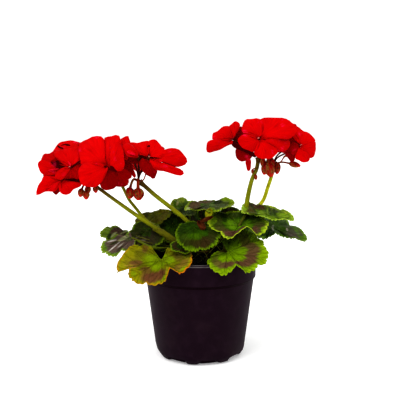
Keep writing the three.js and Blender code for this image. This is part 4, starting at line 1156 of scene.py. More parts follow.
# The florets of each head: the middle, the way it faces and its petals. A plain floret has five alike, and
# gives their turn, their length and how far they stand forward. Elsewhere the petals are drawn or set one by
# one. A drawn one has its skin, how far its face leans back to the right and upwards, its bow, its foot, and
# its edge as seen from the front, from its foot. A set one has its tip, its width, the way its upper face
# looks and, unless both are 0.1, how far it bows up along its length and how far its sides stand up.
FLORETS = {
    "left_outer": [
        ((-129.6, -22, 207.4), (-110, 60), [
            ("scarlet", (-0.1, 0.9), 0.05, (-128.8, -26, 204.8), [
                (-8.9, -0.1), (-13.6, 4.5), (-11.9, 8.6), (-8, 12.3), (-3.2, 13.7), (2.7, 14.5), (8.8, 13.9),
                (13.5, 11.8), (14, 4.6), (9.8, 0),
            ]),
            ("fold_shadow", (-0.1, 0.5), 0, (-132.9, -30.5, 213.7), [
                (-2.1, 1.4), (-3.6, 1.3), (-2.5, -0.2), (0.1, -1.5), (3, -1.5), (1.9, -0.4),
            ]),
            ("fold_shadow", (-0.1, 0.5), 0, (-128.3, -29.5, 215.6), [
                (-4.8, -0.8), (-3, 0.3), (0.4, 1), (4.4, 0.1), (4.7, -0.8), (0.5, -0.5),
            ]),
            ((-138.7, 4, 211.3), 16.2, (-130, 60)),
            ((-127.1, 6, 210.2), 16.3, (-80, 60)),
        ]),
        ((-121.6, -42, 195.5), (-110, 20), [
            ("shaded", (0.1, 0.1), 0, (-128.3, -31, 189.7), [
                (-5.7, -9.5), (-15.1, -7.9), (-21.1, -4.5), (-21.1, 1.2), (-9.3, 8.7), (0.1, 11.5), (9.6, 11.4),
                (14.2, 5.6), (13.2, -3.9), (9.4, -9.6), (1.8, -11),
            ]),
            ("bright", (-0.05, 0.62), 0.08, (-121.6, -42, 195.5), [
                (-3.9, 0.4), (-10.6, 4.9), (-16.4, 9.9), (-17.3, 14), (-14.6, 16), (-8.8, 16.6), (-2.1, 17.1),
                (3.6, 18.2), (8.1, 15.4), (9.7, 9), (8.2, 4), (3.2, 0.9),
            ]),
            ((-132.1, -20, 202.4), 17.9, (-130, 60)),
            ((-116.1, -22, 202.6), 15.6, (-90, 60)),
            ("crimson", (0.1, -0.3), 0.05, (-121.5, -40.5, 194.9), [
                (-1.1, -2), (-4.8, -7.3), (-9.4, -11.7), (-5.8, -13.5), (0.8, -13.3), (6.9, -12.4), (9, -4.5),
                (9.1, 2.8), (3.9, 1.9),
            ]),
            ("crimson", (0.35, 0.2), 0.06, (-121.8, -43.5, 194.9), [
                (-2.2, 0.9), (-7.1, -0.1), (-11.4, -3.2), (-13.1, -7.2), (-10, -10.6), (-6.1, -10.3),
                (-3, -6.2), (-0.4, -2.6),
            ]),
            ("rosy_highlight", (0.35, 0.2), 0.02, (-126.9, -44.4, 191.4), [
                (-3.1, 0.6), (-6.2, -1.5), (-7.8, -3.9), (-5.7, -4.3), (-2.6, -2.8), (-0.5, -1),
            ]),
            ("fold_shadow", (-0.05, 0.62), 0, (-121.2, -44.4, 195.7), [
                (0.5, -0.4), (4, 2.8), (8.9, 5.9), (9.3, 5.3), (5.4, 2), (1.5, -0.9),
            ]),
            ("rosy_highlight", (-0.05, 0.62), 0, (-121.2, -44.4, 195.7), [
                (-0.6, 2.1), (-3.3, 4.6), (-3.3, 5.5), (-1.2, 4.4), (0.5, 2.5),
            ]),
        ]),
        ((-132.2, -41, 182.1), (-112, -15), [
            ("scarlet", (0.35, 0.1), 0.08, (-131.5, -42, 183.1), [
                (-3, 3.1), (-9.1, 3.8), (-15, 4.5), (-16.1, 0.6), (-18.9, -3.5), (-20.7, -7.6), (-20.9, -13.2),
                (-17.5, -12.4), (-14.1, -10.5), (-9.3, -10.3), (-5.8, -10.8), (-2.2, -7.9), (0, -3.7),
            ]),
            ("bright", (0, 0.5), 0.1, (-131, -42, 181.7), [
                (-2.1, -3.2), (-1.3, -7.7), (1.2, -10.7), (5.1, -12), (8.8, -10.5), (12.3, -7), (16.4, -5),
                (20.1, -3), (19, -1.2), (13.3, -1), (6.7, -1.4),
            ]),
            ("shaded", (0, 0.1), 0, (-135.6, -39, 177.1), [
                (-3.8, -1), (-4.8, -4.3), (-2.9, -7.2), (-1, -8.4), (1.4, -6.5), (3.8, -3.8), (2.9, 0),
            ]),
            ((-145.5, -24, 181.3), 15.7, (-130, 50)),
            ((-126.1, -24, 180.3), 15.7, (-90, 50)),
            ("rosy_highlight", (0.35, 0.1), 0, (-130.8, -45, 183.4), [
                (-14.5, -8.8), (-11.4, -7.4), (-8, -7.7), (-6.1, -9.1), (-9.3, -9.5), (-12.3, -9.8),
            ]),
            ("fold_shadow", (0, -0.2), 0, (-133, -37, 181.7), [
                (-1.2, -3), (4.5, -3.8), (12.2, -3.5), (19.8, -3), (21.1, 1.9), (14.5, 2.4), (5.8, 1.4),
                (0.1, 1.9),
            ]),
        ]),
        ((-88, -43, 195.5), (-112, 10), [
            ("scarlet", (0.1, 0.6), 0.1, (-88.9, -43, 196), [
                (-6.4, -1.7), (-13.8, -1.2), (-20.4, 0.6), (-23.6, 6.1), (-25.2, 13.3), (-25.7, 19.8),
                (-23.2, 23.8), (-18.7, 25.6), (-13.2, 28.3), (-7.6, 28.5), (-3.7, 26.9), (-1.8, 21.5),
                (-0.9, 13.2), (-0.4, 5.9),
            ]),
            ("bright", (0.15, 0.35), 0.12, (-86.7, -45.5, 195.9), [
                (-6.5, 3.1), (-13.9, 4.6), (-21.1, 3.9), (-25.1, 0.2), (-25.7, -6.2), (-24.8, -12.1),
                (-21.5, -16.4), (-16.7, -18.1), (-11.3, -18.1), (-6.8, -16), (-3.3, -11.5), (-0.7, -6.1),
                (1, -2),
            ]),
            ("scarlet", (0.15, 0.65), 0.08, (-87.7, -41.5, 195.4), [
                (-3.1, 3.7), (-4, 13.7), (-3.9, 22), (-3.7, 26.6), (-0.2, 28.3), (3.6, 28.8), (7.4, 29.3),
                (10.1, 27.7), (12.1, 21.8), (10.7, 13.5), (7.4, 6.3), (3.1, 1.3),
            ]),
            ("scarlet", (0.4, 0.5), 0.08, (-86, -43.5, 195.1), [
                (0.7, 4.1), (1.2, 11.4), (2.7, 18.7), (5.7, 22.4), (9.8, 21.4), (12.8, 15.7), (14.2, 8.3),
                (15, 1.8), (12.7, -3.1), (6.4, -3.4),
            ]),
            ((-101.5, -22, 202.6), 20.1, (-100, 60)),
            ((-84, -22, 204.5), 15.6, (-70, 60)),
            ("fold_shadow", (0.1, 0.1), 0, (-83.7, -46.8, 194.9), [
                (-3.2, 2.4), (-5.5, 2.2), (-5.1, 0.8), (-2.3, 0), (0, -1.8), (4.6, -3.6), (6.9, -3.1),
                (4.6, -1), (3.1, 1.4), (0, 2.3),
            ]),
        ]),
        ((-104.6, -26, 209.6), (-95, 58), [
            ((-105.1, -10, 219.4), 27.2, (-95, 45), 0.12, 0.08),
            ((-119.2, -14, 213.8), 15.8, (-110, 45)),
            ((-91.2, -18, 215.9), 20.2, (-80, 45)),
        ]),
        ((-133, -35, 195.8), (-145, 20), [
            ("crimson", (0.35, 0.6), 0.08, (-133.9, -35, 196.8), [
                (-5.4, 0.6), (-10.8, 2.1), (-16.1, 4), (-15.6, 8.6), (-13, 11.1), (-9.9, 10.9), (-7, 12.5),
                (-3.1, 13.9), (0.1, 8.2), (1.5, 2.7),
            ]),
            ("bright", (0.45, 0.15), 0.1, (-131.9, -38.5, 193.7), [
                (-4.7, 3), (-9, 6.2), (-14.2, 8.5), (-17.1, 8.4), (-19.1, 4.9), (-18.6, 0.3), (-16.7, -3.2),
                (-14.6, -5.3), (-9, -6), (-3.4, -5.2), (-0.4, -2.8),
            ]),
            ("shaded", (0.2, 0.3), 0, (-131.6, -37.5, 194.6), [
                (-4.5, 0.1), (-9.9, 4.3), (-8.8, 6.7), (-4.8, 8.5), (0.7, 7), (3.6, 2.3),
            ]),
            ((-152.4, -8, 201.6), 18.2, (-140, 30), 0.1, 0.12),
            ((-140.5, 2, 206.9), 16.2, (-140, 50)),
            ("fold_shadow", (0.45, 0.15), 0, (-131.3, -41, 194), [
                (-0.8, -0.7), (-5.2, 2.8), (-8.6, 6), (-7.9, 6.5), (-4.5, 3.9), (-0.2, 0.4),
            ]),
            ("fold_shadow", (0.45, 0.15), 0, (-131.3, -41, 194), [
                (-8.2, 5.8), (-5.2, 6.8), (-1.9, 7.7), (-1.7, 7.1), (-5, 6.2), (-8, 5.4),
            ]),
            ("rosy_highlight", (0.45, 0.15), 0, (-131.3, -41, 194), [
                (-12.5, -2.5), (-9.5, -0.7), (-6.1, -0.1), (-3.9, -0.6), (-6.9, -1.7), (-9.9, -2.7),
            ]),
        ]),
        ((-120, 22, 203), (125, 55), (35, 23, 14)),
        ((-108, 32, 190), (95, 12), (0, 24, 14)),
    ],
    "left_back": [
        ((-79.9, -16, 208), (-85, 40), [
            ("scarlet", (0, 0.5), 0.05, (-74.1, -24, 200.8), [
                (-5.1, 3.7), (-4.2, 13.1), (-3.6, 19.8), (-1.4, 21.1), (1, 21.9), (3.6, 23.2), (4.9, 20.8),
                (6.6, 16.5), (7.8, 11.2), (6.6, 3.7), (3.8, 0),
            ]),
            ((-92.2, -4, 217.2), 16, (-95, 30)),
            ((-75, -8, 207.5), 15.9, (-60, 30)),
            ((-81.5, -20, 200.5), 15.7, (-85, 30)),
        ]),
        ((-83.8, -39, 194.3), (-85, -30), [
            ("shaded", (0.05, -0.25), 0.08, (-85.4, -41, 194.4), [
                (-3.1, -3.8), (-6.2, -9.2), (-9.6, -14.6), (-8.9, -19.3), (-4.1, -21.8), (1.7, -20.6),
                (5.6, -18.1), (7.8, -12.7), (7.2, -5.8), (4.5, -1.9),
            ]),
            ("shaded", (0.2, -0.3), 0.08, (-82.8, -39.5, 193.8), [
                (-0.3, -5.3), (-0.3, -12.3), (2.7, -17.6), (7.8, -18.7), (12.1, -17.5), (15, -14.6),
                (15.2, -11.6), (17.6, -9.9), (17.4, -5.2), (12.4, -1.2), (6.5, 1.4), (2.8, 0.5),
            ]),
        ]),
        ((-98, 46, 197), (105, 35), (20, 21, 14)),
        ((-74, 44, 198), (60, 38), (45, 24, 14)),
        ((-87, 14, 208), (-90, 86), (10, 23, 14)),
    ],
    "left_inner": [
        ((-59.6, -24, 203.7), (-95, 30), [
            ("rosy_highlight", (0.1, 0.4), 0, (-61, -33.6, 205.8), [
                (-2.4, 0.6), (-6.2, 1.8), (-8.1, 3.7), (-6.7, 5.3), (-3.4, 4.2), (-0.5, 1.7),
            ]),
            ("bright", (0.1, 0.4), 0.12, (-59, -30, 203.1), [
                (-4.7, 0.5), (-10.5, 2.4), (-14.1, 6.7), (-15.2, 10.9), (-13.2, 13.6), (-8.9, 14.1),
                (-5.5, 11.8), (-2.1, 8.5), (-0.1, 4.7),
            ]),
            ("scarlet", (0, 0.5), 0.08, (-50.9, -24, 203.7), [
                (-6.8, 1.8), (-12.8, 5.6), (-17.3, 9.8), (-17.4, 13), (-13.1, 13.7), (-8.2, 13.5), (-4.3, 14.9),
                (1, 15.4), (3.6, 11.3), (2.8, 4.7),
            ]),
            ("shaded", (0, 0.2), 0, (-52.4, -18, 200.3), [
                (-5.8, -2.9), (-14.6, -3.3), (-21.5, -0.5), (-22, 6.8), (-16.7, 10.6), (-6.9, 11.1),
                (3.9, 10.6), (11.7, 7.7), (12.7, 1), (5.9, -2.9),
            ]),
        ]),
        ((-48.8, -26, 203.8), (-75, 30), [
            ("scarlet", (0.1, 0.5), 0.1, (-48.2, -27, 203.9), [
                (-0.7, 6.5), (-2.2, 13.1), (0, 15.9), (3.4, 16.8), (7.1, 15.3), (10, 12.1), (11.8, 8.3),
                (15.2, 6.8), (15.8, 2.7), (10.1, -1),
            ]),
            ("shaded", (0.05, -0.3), 0.08, (-51.5, -28, 202), [
                (4.7, -2.5), (9.4, -7.4), (10.4, -11.9), (9.3, -16.4), (6.6, -20.2), (3.7, -18.5), (0.3, -16.5),
                (-3.4, -11.9), (-6.5, -7.4), (-6.5, -2.4), (-3.3, 0.5),
            ]),
            ("fold_shadow", (0.1, 0.3), 0, (-48.6, -32, 214.2), [
                (-1.2, -0.9), (-1.2, 0.2), (-0.2, 1.3), (1.2, 1.1), (1.4, -0.1), (0.5, -1),
            ]),
            ("fold_shadow", (0.1, 0.3), 0, (-48.3, -31.5, 205.6), [
                (-0.9, -0.8), (-1.1, 0.5), (0, 1.1), (1.2, 0.5), (1, -0.8),
            ]),
        ]),
        ((-62, 14, 206), (80, 72), (30, 20, 14)),
        ((-43.3, -22, 202.1), (-65, 25), [
            ("bright", (0.3, 0.35), 0.1, (-44.9, -26, 202.4), [
                (2.8, 3.7), (7, 7.4), (12.2, 8.5), (17, 9.9), (22, 9.5), (26, 7.3), (29.6, 3.1), (32.7, -2.2),
                (31.9, -5.7), (27.7, -7.8), (22, -8.1), (15.7, -6.1), (9.5, -4.1), (3.8, -2.7),
            ]),
            ("scarlet", (0.25, 0.1), 0.08, (-47.7, -27.5, 202.5), [
                (5.7, -1.9), (12.3, -4.6), (19, -8.4), (24.8, -9.9), (28.9, -10.6), (31.9, -13.2),
                (32.7, -15.6), (30.2, -17.3), (25.7, -16.5), (19, -14.5), (12.3, -12.1), (6.6, -11.4),
                (1.9, -7.7), (-0.9, -3.4),
            ]),
            ("rosy_highlight", (0.3, 0.35), 0, (-38.1, -27.5, 200.2), [
                (-2.3, 0.4), (0, 1.7), (3.3, 0.5), (1, -1.1), (-1.4, -1.1),
            ]),
            ((-42.8, 0, 214), 16.1, (-85, 30)),
            ((-30.4, 10, 205.4), 16.4, (-70, 45)),
        ]),
        ((-66.7, -13, 197), (-95, -30), [
            ("shaded", (0, -0.2), 0.05, (-67.3, -16, 198.2), [
                (-3.9, 1), (-7.1, -2), (-6.9, -8), (-4.4, -12.5), (-1.6, -15.6), (1.1, -10), (1.6, -4),
            ]),
            ("crimson", (0, -0.2), 0, (-66.4, -12, 192), [
                (-2, -2), (-1.6, -5.6), (1.7, -9.9), (3, -8.6), (1.9, -3.5),
            ]),
        ]),
    ],
    "right_main": [
        ((55.9, -38, 222.1), (-97, 22), [
            ("scarlet", (0.1, 0.6), 0.08, (55.9, -38, 222.6), [
                (-6.1, 1.8), (-11.8, 3.7), (-15.2, 6), (-15.6, 10.2), (-13.8, 14.5), (-10.5, 18.2),
                (-5.7, 17.7), (1.1, 17.4), (5.3, 15.7), (6.5, 9.2), (3.4, 2.7),
            ]),
            ("bright", (0.2, 0.15), 0.1, (55.3, -39.5, 221.7), [
                (-4.3, 2.8), (-8.6, 4), (-13.8, 4.2), (-17.3, 2.2), (-18.8, -1.1), (-17.1, -5.4), (-13.3, -8.8),
                (-8.6, -10.7), (-3.8, -11.9), (-0.9, -8.9), (0.5, -4.7),
            ]),
            ("scarlet", (-0.05, 0.55), 0.08, (57.4, -37, 222.1), [
                (-1.2, 6.9), (-2, 13.4), (-0.4, 17.5), (3.4, 19.1), (10.1, 19.7), (16.8, 19.8), (22.5, 19.6),
                (26.7, 18.3), (30.4, 15.3), (34, 11.6), (34.1, 6), (29.2, 0.9), (18.8, 0.2), (7.5, -0.1),
            ]),
            ("bright", (0.3, 0.35), 0.12, (57.7, -39.5, 221.2), [
                (6.3, 1.7), (14.1, 1.3), (21.9, 0.4), (28.8, -1.6), (29, -5), (26.4, -8.5), (21.9, -11.5),
                (17.7, -10.2), (12.9, -7.3), (6.2, -3.1),
            ]),
            ((49.1, -18, 223.7), 17.9, (-110, 60)),
            ((70.6, -16, 225.5), 20.2, (-80, 60)),
            ("scarlet", (0.1, 0.25), 0.14, (56.7, -40.5, 220.8), [
                (-2.4, -4.2), (-4.4, -9.2), (-4.8, -12), (-2.5, -15.3), (1.3, -16.9), (6.5, -17.6),
                (11.2, -16.7), (15, -14.2), (17.7, -11), (16.5, -8.2), (10.9, -4.7), (5.2, -1.2),
            ]),
        ]),
        ((31.9, -23, 220), (-140, 20), [
            ("bright", (0.1, 0.4), 0.06, (31.8, -25.5, 222), [
                (-2.9, 4.8), (-3.8, 9), (-2.8, 11.7), (0.1, 14.3), (2.7, 16), (5.8, 15.2), (7.3, 12.3),
                (6.4, 8.5), (3.9, 4.5), (1.9, 1.5),
            ]),
            ("scarlet", (0.3, 0.45), 0.1, (30.8, -25, 220.6), [
                (-7.2, -0.9), (-14, -0.6), (-17.8, 0), (-18.6, 4), (-17.2, 6.7), (-14, 8.1), (-10.1, 10.9),
                (-6.5, 12.8), (-2, 12.8), (0.6, 9), (1.5, 3.3),
            ]),
            ("bright", (0.3, 0.1), 0.1, (31.3, -27, 219.7), [
                (-7.8, 1.3), (-14.5, 1.3), (-19.8, 0.8), (-23.1, -0.9), (-24.8, -3.9), (-24.8, -7.5),
                (-23.3, -10.3), (-21.2, -11.2), (-16.4, -9.8), (-11.1, -8.5), (-6.8, -5.9), (-2.7, -4),
                (0.4, -3.3),
            ]),
            ((27, -8, 222.3), 15.9, (-120, 60)),
            ("shaded", (0, 0.3), 0, (33.5, -18, 219.8), [
                (-3.9, -1.9), (-2.4, 3.8), (1.5, 8.6), (4.5, 12.5), (7.9, 13), (9.3, 7.7), (8.3, 1),
                (6.8, -4.8), (1.9, -8.1), (-2, -5.3),
            ]),
            ("fold_shadow", (0.1, -0.2), 0, (39, -26, 214.4), [
                (-5.8, 4.9), (-9.2, 4.4), (-8.2, 1.2), (-5.3, -0.9), (-0.9, -3.4), (5, -5.9), (9.9, -8.8),
                (13.8, -11.3), (16.8, -10.9), (14.7, -6.9), (8.8, -4.9), (2.9, -1), (0, 4.4),
            ]),
        ]),
        ((96.9, -25, 214.8), (-62, 14), [
            ("scarlet", (0.3, 0.4), 0.08, (96.8, -26, 215.4), [
                (-4.4, 3.8), (-7.2, 9.5), (-6.5, 16.1), (-3.4, 18.4), (0.6, 16.5), (3.7, 13.9), (7.5, 12.6),
                (11.5, 9.7), (14.4, 6.1), (15.5, 2.6), (10.1, 0.9), (4.5, -0.4),
            ]),
            ("bright", (0.35, 0.15), 0.1, (96.7, -27, 214.4), [
                (4, 1.6), (10.1, 2.9), (15.4, 4), (16.4, -0.3), (16.2, -6), (14.4, -9.8), (10.4, -11.8),
                (6.5, -8.2), (3, -4.3),
            ]),
            ("scarlet", (0.15, 0.1), 0.1, (96.1, -28, 213.5), [
                (3.4, -1.4), (7.4, -4.8), (10.7, -10.1), (8.7, -13.9), (4.8, -14.8), (0.1, -13), (-3.6, -11),
                (-3.4, -6.1), (-2.2, -2.3),
            ]),
            ((104, -8, 218.4), 13.6, (-60, 60)),
            ("shaded", (0, 0.1), 0.1, (95.5, -28.5, 215), [
                (-2.1, 2.2), (-5.8, 3.3), (-8.6, 1), (-9.8, -2.9), (-8.6, -6.7), (-5.7, -8.7), (-2.5, -7.5),
                (-0.3, -3.8),
            ]),
            ("shaded", (0, -0.25), 0.05, (92.3, -24, 211.4), [
                (-5.8, -0.5), (-8.6, -2.7), (-9.7, -4.9), (-6.4, -8.9), (-4.3, -11.8), (-2.1, -14),
                (-0.2, -11.4), (0.9, -7.9), (2.6, -3.9),
            ]),
        ]),
        ((89.7, -12, 218.6), (-60, 40), [
            ("bright", (0.1, 0.6), 0.08, (88.6, -22, 218), [
                (-6.8, 2.9), (-9.3, 11.4), (-5.9, 19.1), (-1.6, 21.7), (1.5, 18.9), (5.7, 15.1), (10.1, 13.1),
                (12.9, 10.4), (12, 4.7), (6.8, 0.5),
            ]),
            ((91.6, 6, 233.7), 20.8, (-80, 40), 0.1, 0.08),
            ((101.3, 2, 224.9), 13.8, (-65, 40)),
            ((100.6, -12, 213.7), 13.6, (-60, 20)),
        ]),
        ((66, 10, 227), (80, 78), (30, 27, 14)),
        ((52, 26, 221), (120, 50), (10, 20, 14)),
        ((76, 33, 217), (75, 35), (20, 20, 14)),
        ((46.1, -20, 209.2), (-125, -30), [
            ("shaded", (0.15, -0.15), 0.08, (46, -22, 209.3), [
                (-4.9, 3), (-9.3, 3.4), (-11.1, 0.1), (-10.7, -4.3), (-9.1, -7.9), (-6.2, -10), (-2.3, -9.9),
                (2.1, -8.4), (5.3, -5.9), (4.5, -1.5),
            ]),
            ("crimson", (0, -0.05), 0.05, (47.4, -21, 202.5), [
                (-2.2, -2), (-2.6, -4.9), (-1.7, -8.8), (-1.1, -11.8), (0.5, -12.9), (2, -11.6), (2.6, -6.9),
                (2.7, -2.9), (1.7, -0.5),
            ]),
        ]),
    ],
    "right_young": [
        ((100, 15, 211), (15, 30), (0, 15, 14)),
        ((92, 34, 213), (60, 32), (30, 17, 14)),
    ],
}


PETAL_GRID = (20, 14)
PETAL_THICKNESS = 0.35
RIM_STEPS = 80


def petal_place(floret, order, petal, chance):
    """Gives the point of a petal that is so far across it and so far along it."""
    middle, faces, (turn, length, forward) = floret
    face, forward = facing(*faces), math.radians(forward)
    level = Vector((-face.y, face.x, 0)).normalized()
    whole = blade_frame(Vector(middle), face, Matrix.Rotation(math.radians(turn), 3, face) @ level)
    long = length * lerp(0.95, 1.04, chance.random())
    wide = length * lerp(0.5, 0.58, chance.random())
    roll = lerp(0.1, 0.22, chance.random())
    crimp = lerp(0.02, 0.05, chance.random())
    phase, second = any_phase(chance), any_phase(chance)
    curl = lerp(-0.02, 0.1, chance.random())
    aim = FULL_TURN * petal / 5 + lerp(-0.08, 0.08, chance.random())

    def place(u, v):
        t = 2 * u - 1
        bow = math.sin(t * math.pi / 2)
        shape = 0.15 + 0.85 * math.sin(min(v / 0.72, 1) * math.pi / 2)
        shape *= 1 - 0.16 * smoothstep(0.78, 1, v)
        nick = 1 - 0.02 * math.cos(3 * math.pi * t + phase) * smoothstep(0.7, 1, v)
        along = long * (v - 0.42 * v**3 * (1 - math.cos(t * math.pi / 2))) * nick
        across = wide * shape * bow
        x = along * math.cos(aim) - across * math.sin(aim)
        y = along * math.sin(aim) + across * math.cos(aim)
        out = math.hypot(x, y) / length
        angle = math.atan2(y, x)
        height = out * math.sin(forward) - 0.1 * out**3
        height += 0.08 * out**2 * math.cos(2 * angle + 2.4 * order)
        height += roll * across / length * smoothstep(0.1, 0.6, v)
        height += crimp * v**3 * math.sin(4.2 * t + phase) + 0.5 * crimp * v**4 * math.sin(9 * t + second)
        height -= curl * v**4 * (1 - t * t) * 0.6 + 0.05 * abs(t) ** 3 * v
        return whole @ Vector((x * math.cos(forward), y * math.cos(forward), length * height))

    return place


def set_petal_place(chance, middle, tip, wide, faces, bow=0.1, cup=0.1):
    """Gives the point of a petal that is set between its floret's middle and its own tip."""
    middle = Vector(middle)
    run = Vector(tip) - middle
    long = run.length
    x = run / long
    face = facing(*faces)
    z = (face - x * face.dot(x)).normalized()
    y = z.cross(x)
    phase, second = any_phase(chance), any_phase(chance)
    crimp = lerp(0.03, 0.07, chance.random())
    flat = 0.38 * min(1, long / wide)
    twist = lerp(-0.12, 0.12, chance.random())
    spot = Vector((50 * chance.random(), 0, 0))

    def place(u, v):
        t = 2 * u - 1
        turn = t * math.pi / 2
        shape = 0.2 + 0.8 * math.sin(min(v / 0.68, 1) * math.pi / 2) ** 0.9
        shape *= 1 - 0.14 * smoothstep(0.75, 1, v)
        nick = 1 - 0.025 * math.cos(3 * math.pi * t + phase) * smoothstep(0.7, 1, v)
        along = long * (v - flat * v**3 * (1 - math.cos(turn))) * nick
        across = 0.5 * wide * shape * math.sin(turn)
        height = bow * long * 4 * v * (1 - v) + cup * wide * t * t * shape * 0.5
        height += twist * across * v
        height += crimp * long * v**2 * (math.sin(4.2 * t + phase) + 0.5 * v * math.sin(9 * t + second))
        height += 0.09 * long * v * noise.noise(Vector((t * 1.6, v * 2.2, 0)) + spot)
        height += 0.03 * long * v * noise.noise(Vector((t * 4.5, v * 3, 3)) + spot)
        return middle + x * along + y * across + z * height

    return place


def drawn_petal_place(chance, lean, bow, foot, edge):
    """Gives the point of a petal whose edge is drawn on a leaning plane."""
    (right, up), foot = lean, Vector(foot)
    rim = smooth_line([foot + Vector((x, right * x + up * z, z)) for x, z in edge], RIM_STEPS + 1)
    face = Vector((right, -1, up)).normalized()
    long = sum((point - foot).length for point in rim) / len(rim)
    spot = Vector((50 * chance.random(), 0, 0))
    phase, second = any_phase(chance), any_phase(chance)

    def place(u, v):
        k = min(int(RIM_STEPS * u), RIM_STEPS - 1)
        run = rim[k].lerp(rim[k + 1], RIM_STEPS * u - k) - foot
        t = 2 * u - 1
        out = v * (1 - 0.012 * math.cos(5 * math.pi * t + phase) * smoothstep(0.7, 1, v))
        height = bow * 4 * v * (1 - v) - 0.05 * v**5
        height += 0.03 * v**2 * math.sin(5 * t + phase) + 0.025 * v**4 * math.sin(13 * t + second)
        height += 0.1 * v * noise.noise(Vector((t * 1.8, v * 2.2, 0)) + spot)
        height += 0.04 * v * noise.noise(Vector((t * 5, v * 3, 3)) + spot)
        return foot + run * out + face * (long * height)

    return place


# The skins of the petals: the tone, the deeper tone, and the share of the noise where the painted pink sheen, a
# highlight, begins.
PETAL_SKINS = {
    "scarlet": ((194, 2, 4), (166, 1, 3), 0.6),
    "crimson": ((180, 2, 5), (146, 1, 2), 0.6),
    "bright": ((190, 2, 5), (160, 1, 3), 0.6),
    "shaded": ((146, 1, 4), (104, 0, 3), 0.6),
    # The fold skin paints shadow: very dark strips and petals laid where folds and gaps lie in shade.
    "fold_shadow": ((78, 0, 8), (52, 0, 4), 0.6),
    # The rosy skin paints pink highlights: pinker petals and small strips laid on others, with more sheen.
    "rosy_highlight": ((200, 4, 18), (178, 2, 10), 0.46),
}


def petal_finish(name, tone, deep, painted_sheen_from):
    tint = paint(255, 90, 120)
    finish = Finish("petal_" + name, Roughness=0.45, Specular_IOR_Level=0.05, Specular_Tint=tint)
    tone, deep = paint(*tone), paint(*deep)
    u, v = finish.uv()
    fan = (u - 0.5) * (1.4 - v * 0.5)
    lines = finish.streaks(fan * 26.0, v * 1.6)
    broad = finish.grain(14, 3.0)
    base = finish.mix(lines.step(0.35, 0.7) * 0.5, tone, deep)
    base = finish.mix(broad.step(0.35, 0.7) * 0.5, base, deep)
    # Painted shade along creases that fan out from the petal's foot and fade towards its tip.
    shaded_creases = finish.streaks(fan * 9.0, v * 1.2, 4.0).step(0.55, 0.66) * v.step(0.9, 0.3)
    base = finish.mix(shaded_creases * 0.6, base, paint(112, 0, 2))
    # Painted shade at the petal's foot, where the floret's throat lies in shadow.
    base = finish.mix((1 - v.step(0.03, 0.2)) * 0.6, base, paint(104, 0, 4))
    # Painted highlight: patches of pink sheen along the lighter lines.
    painted_sheen = finish.grain(11, 2.0).step(painted_sheen_from, painted_sheen_from + 0.12) * lines.step(0.4, 0.6)
    base = finish.mix(painted_sheen * 0.6, base, paint(222, 34, 84))
    eye = (1 - v.step(0.01, 0.04)) * (1 - abs(u - 0.5).step(0.05, 0.14))
    finish.feed("Base Color", finish.mix(eye * 0.7, base, paint(226, 130, 140)))
    finish.feed("Roughness", lines * 0.2 + broad * 0.15 + 0.3)
    finish.relief(lines * 0.6 + shaded_creases * -0.8, 0.8, 0.7)
    return finish


def make_florets(head, petal_skins, chance):
    name = head["name"]
    nodes = [f"petals_{name}_{k + 1}" for k in range(head["solids"])]
    for order, floret in enumerate(FLORETS[name]):
        middle, _, table = floret
        skin = ["scarlet", "crimson", "bright"][(order + len(name)) % 3]
        if isinstance(table, tuple):
            places = [(skin, petal_place(floret, order, petal, chance)) for petal in range(5)]
        else:
            places = [
                (petal[0], drawn_petal_place(chance, *petal[1:]))
                if petal[0] in petal_skins
                else (skin, set_petal_place(chance, middle, *petal))
                for petal in table
            ]
        petals = [dress(shaped_grid("petal", *PETAL_GRID, place), petal_skins[key]) for key, place in places]
        whole = close(join(f"floret_{name}_{order + 1}", petals), outwards=False, flip=True)
        apply(whole, "SOLIDIFY", thickness=PETAL_THICKNESS * MM, offset=0)
        place_piece(smooth(whole, 70), "petal", *nodes)


STAMENS = 7


def stamen_lines(middle, face, chance):
    """The bent lines of the stamens that stand in a floret's middle."""
    side = face.cross(Vector((0, 0, 1))).normalized()
    lines = []
    for k in range(STAMENS):
        spread = Matrix.Rotation(FULL_TURN * k / STAMENS + 0.4 * chance.random(), 3, face) @ side
        rise = lerp(1.2, 2.6, chance.random())
        foot = middle + spread * 0.2
        lines.append([foot, foot + face * (0.6 * rise) + spread * 0.1, foot + face * rise + spread * 0.5])
    return lines


def make_stamens(head, chance):
    head_of_pin = between([(0, 0.18), (0.6, 0.13), (0.74, 0.16), (0.84, 0.32), (0.94, 0.3), (1, 0.1)])
    name, lines = head["name"], []
    for middle, faces, _ in FLORETS[name]:
        lines += stamen_lines(Vector(middle), facing(*faces), chance)
    stamens = rods("stamens_" + name, [smooth_line(line, 12) for line in lines], head_of_pin, 6)
    finish = Finish("stamens_pale_" + name, Roughness=0.5)
    u, v = finish.uv()
    finish.feed("Base Color", finish.mix(v.step(0.65, 0.8), paint(176, 24, 36), paint(226, 150, 140)))
    place_piece(dress(smooth(stamens), finish), "petal")


BUD_HALF = 3.9
BUD_RADIUS = 3.3


def pedicel_line(head, at, face):
    hub = Vector(head["hub"])
    end = at - face * 2.6
    reach = (end - hub).length
    return bend(hub, hub + Vector((0, 0, 0.3 * reach)), end - face * (0.4 * reach), end, 26)


def bud_line(head, bud):
    """The line of a bud and its stalk, and the share of it where the bud begins."""
    middle, faces, size, stretch, *start = bud
    middle, way = Vector(middle), facing(*faces)
    hub = Vector(start[0] if start else head["hub"])
    half = BUD_HALF * size * stretch
    neck, tip = middle - way * half, middle + way * half
    reach = (neck - hub).length
    out = Vector((neck.x - hub.x, neck.y - hub.y, 0)).normalized()
    crest = hub + out * (0.5 * reach) + Vector((0, 0, min(2, 0.2 * reach)))
    line = smooth_line([hub, crest, neck, middle, tip], 40)
    length = sum((b - a).length for a, b in zip(line, line[1:]))
    return line, 1 - 2 * half / length


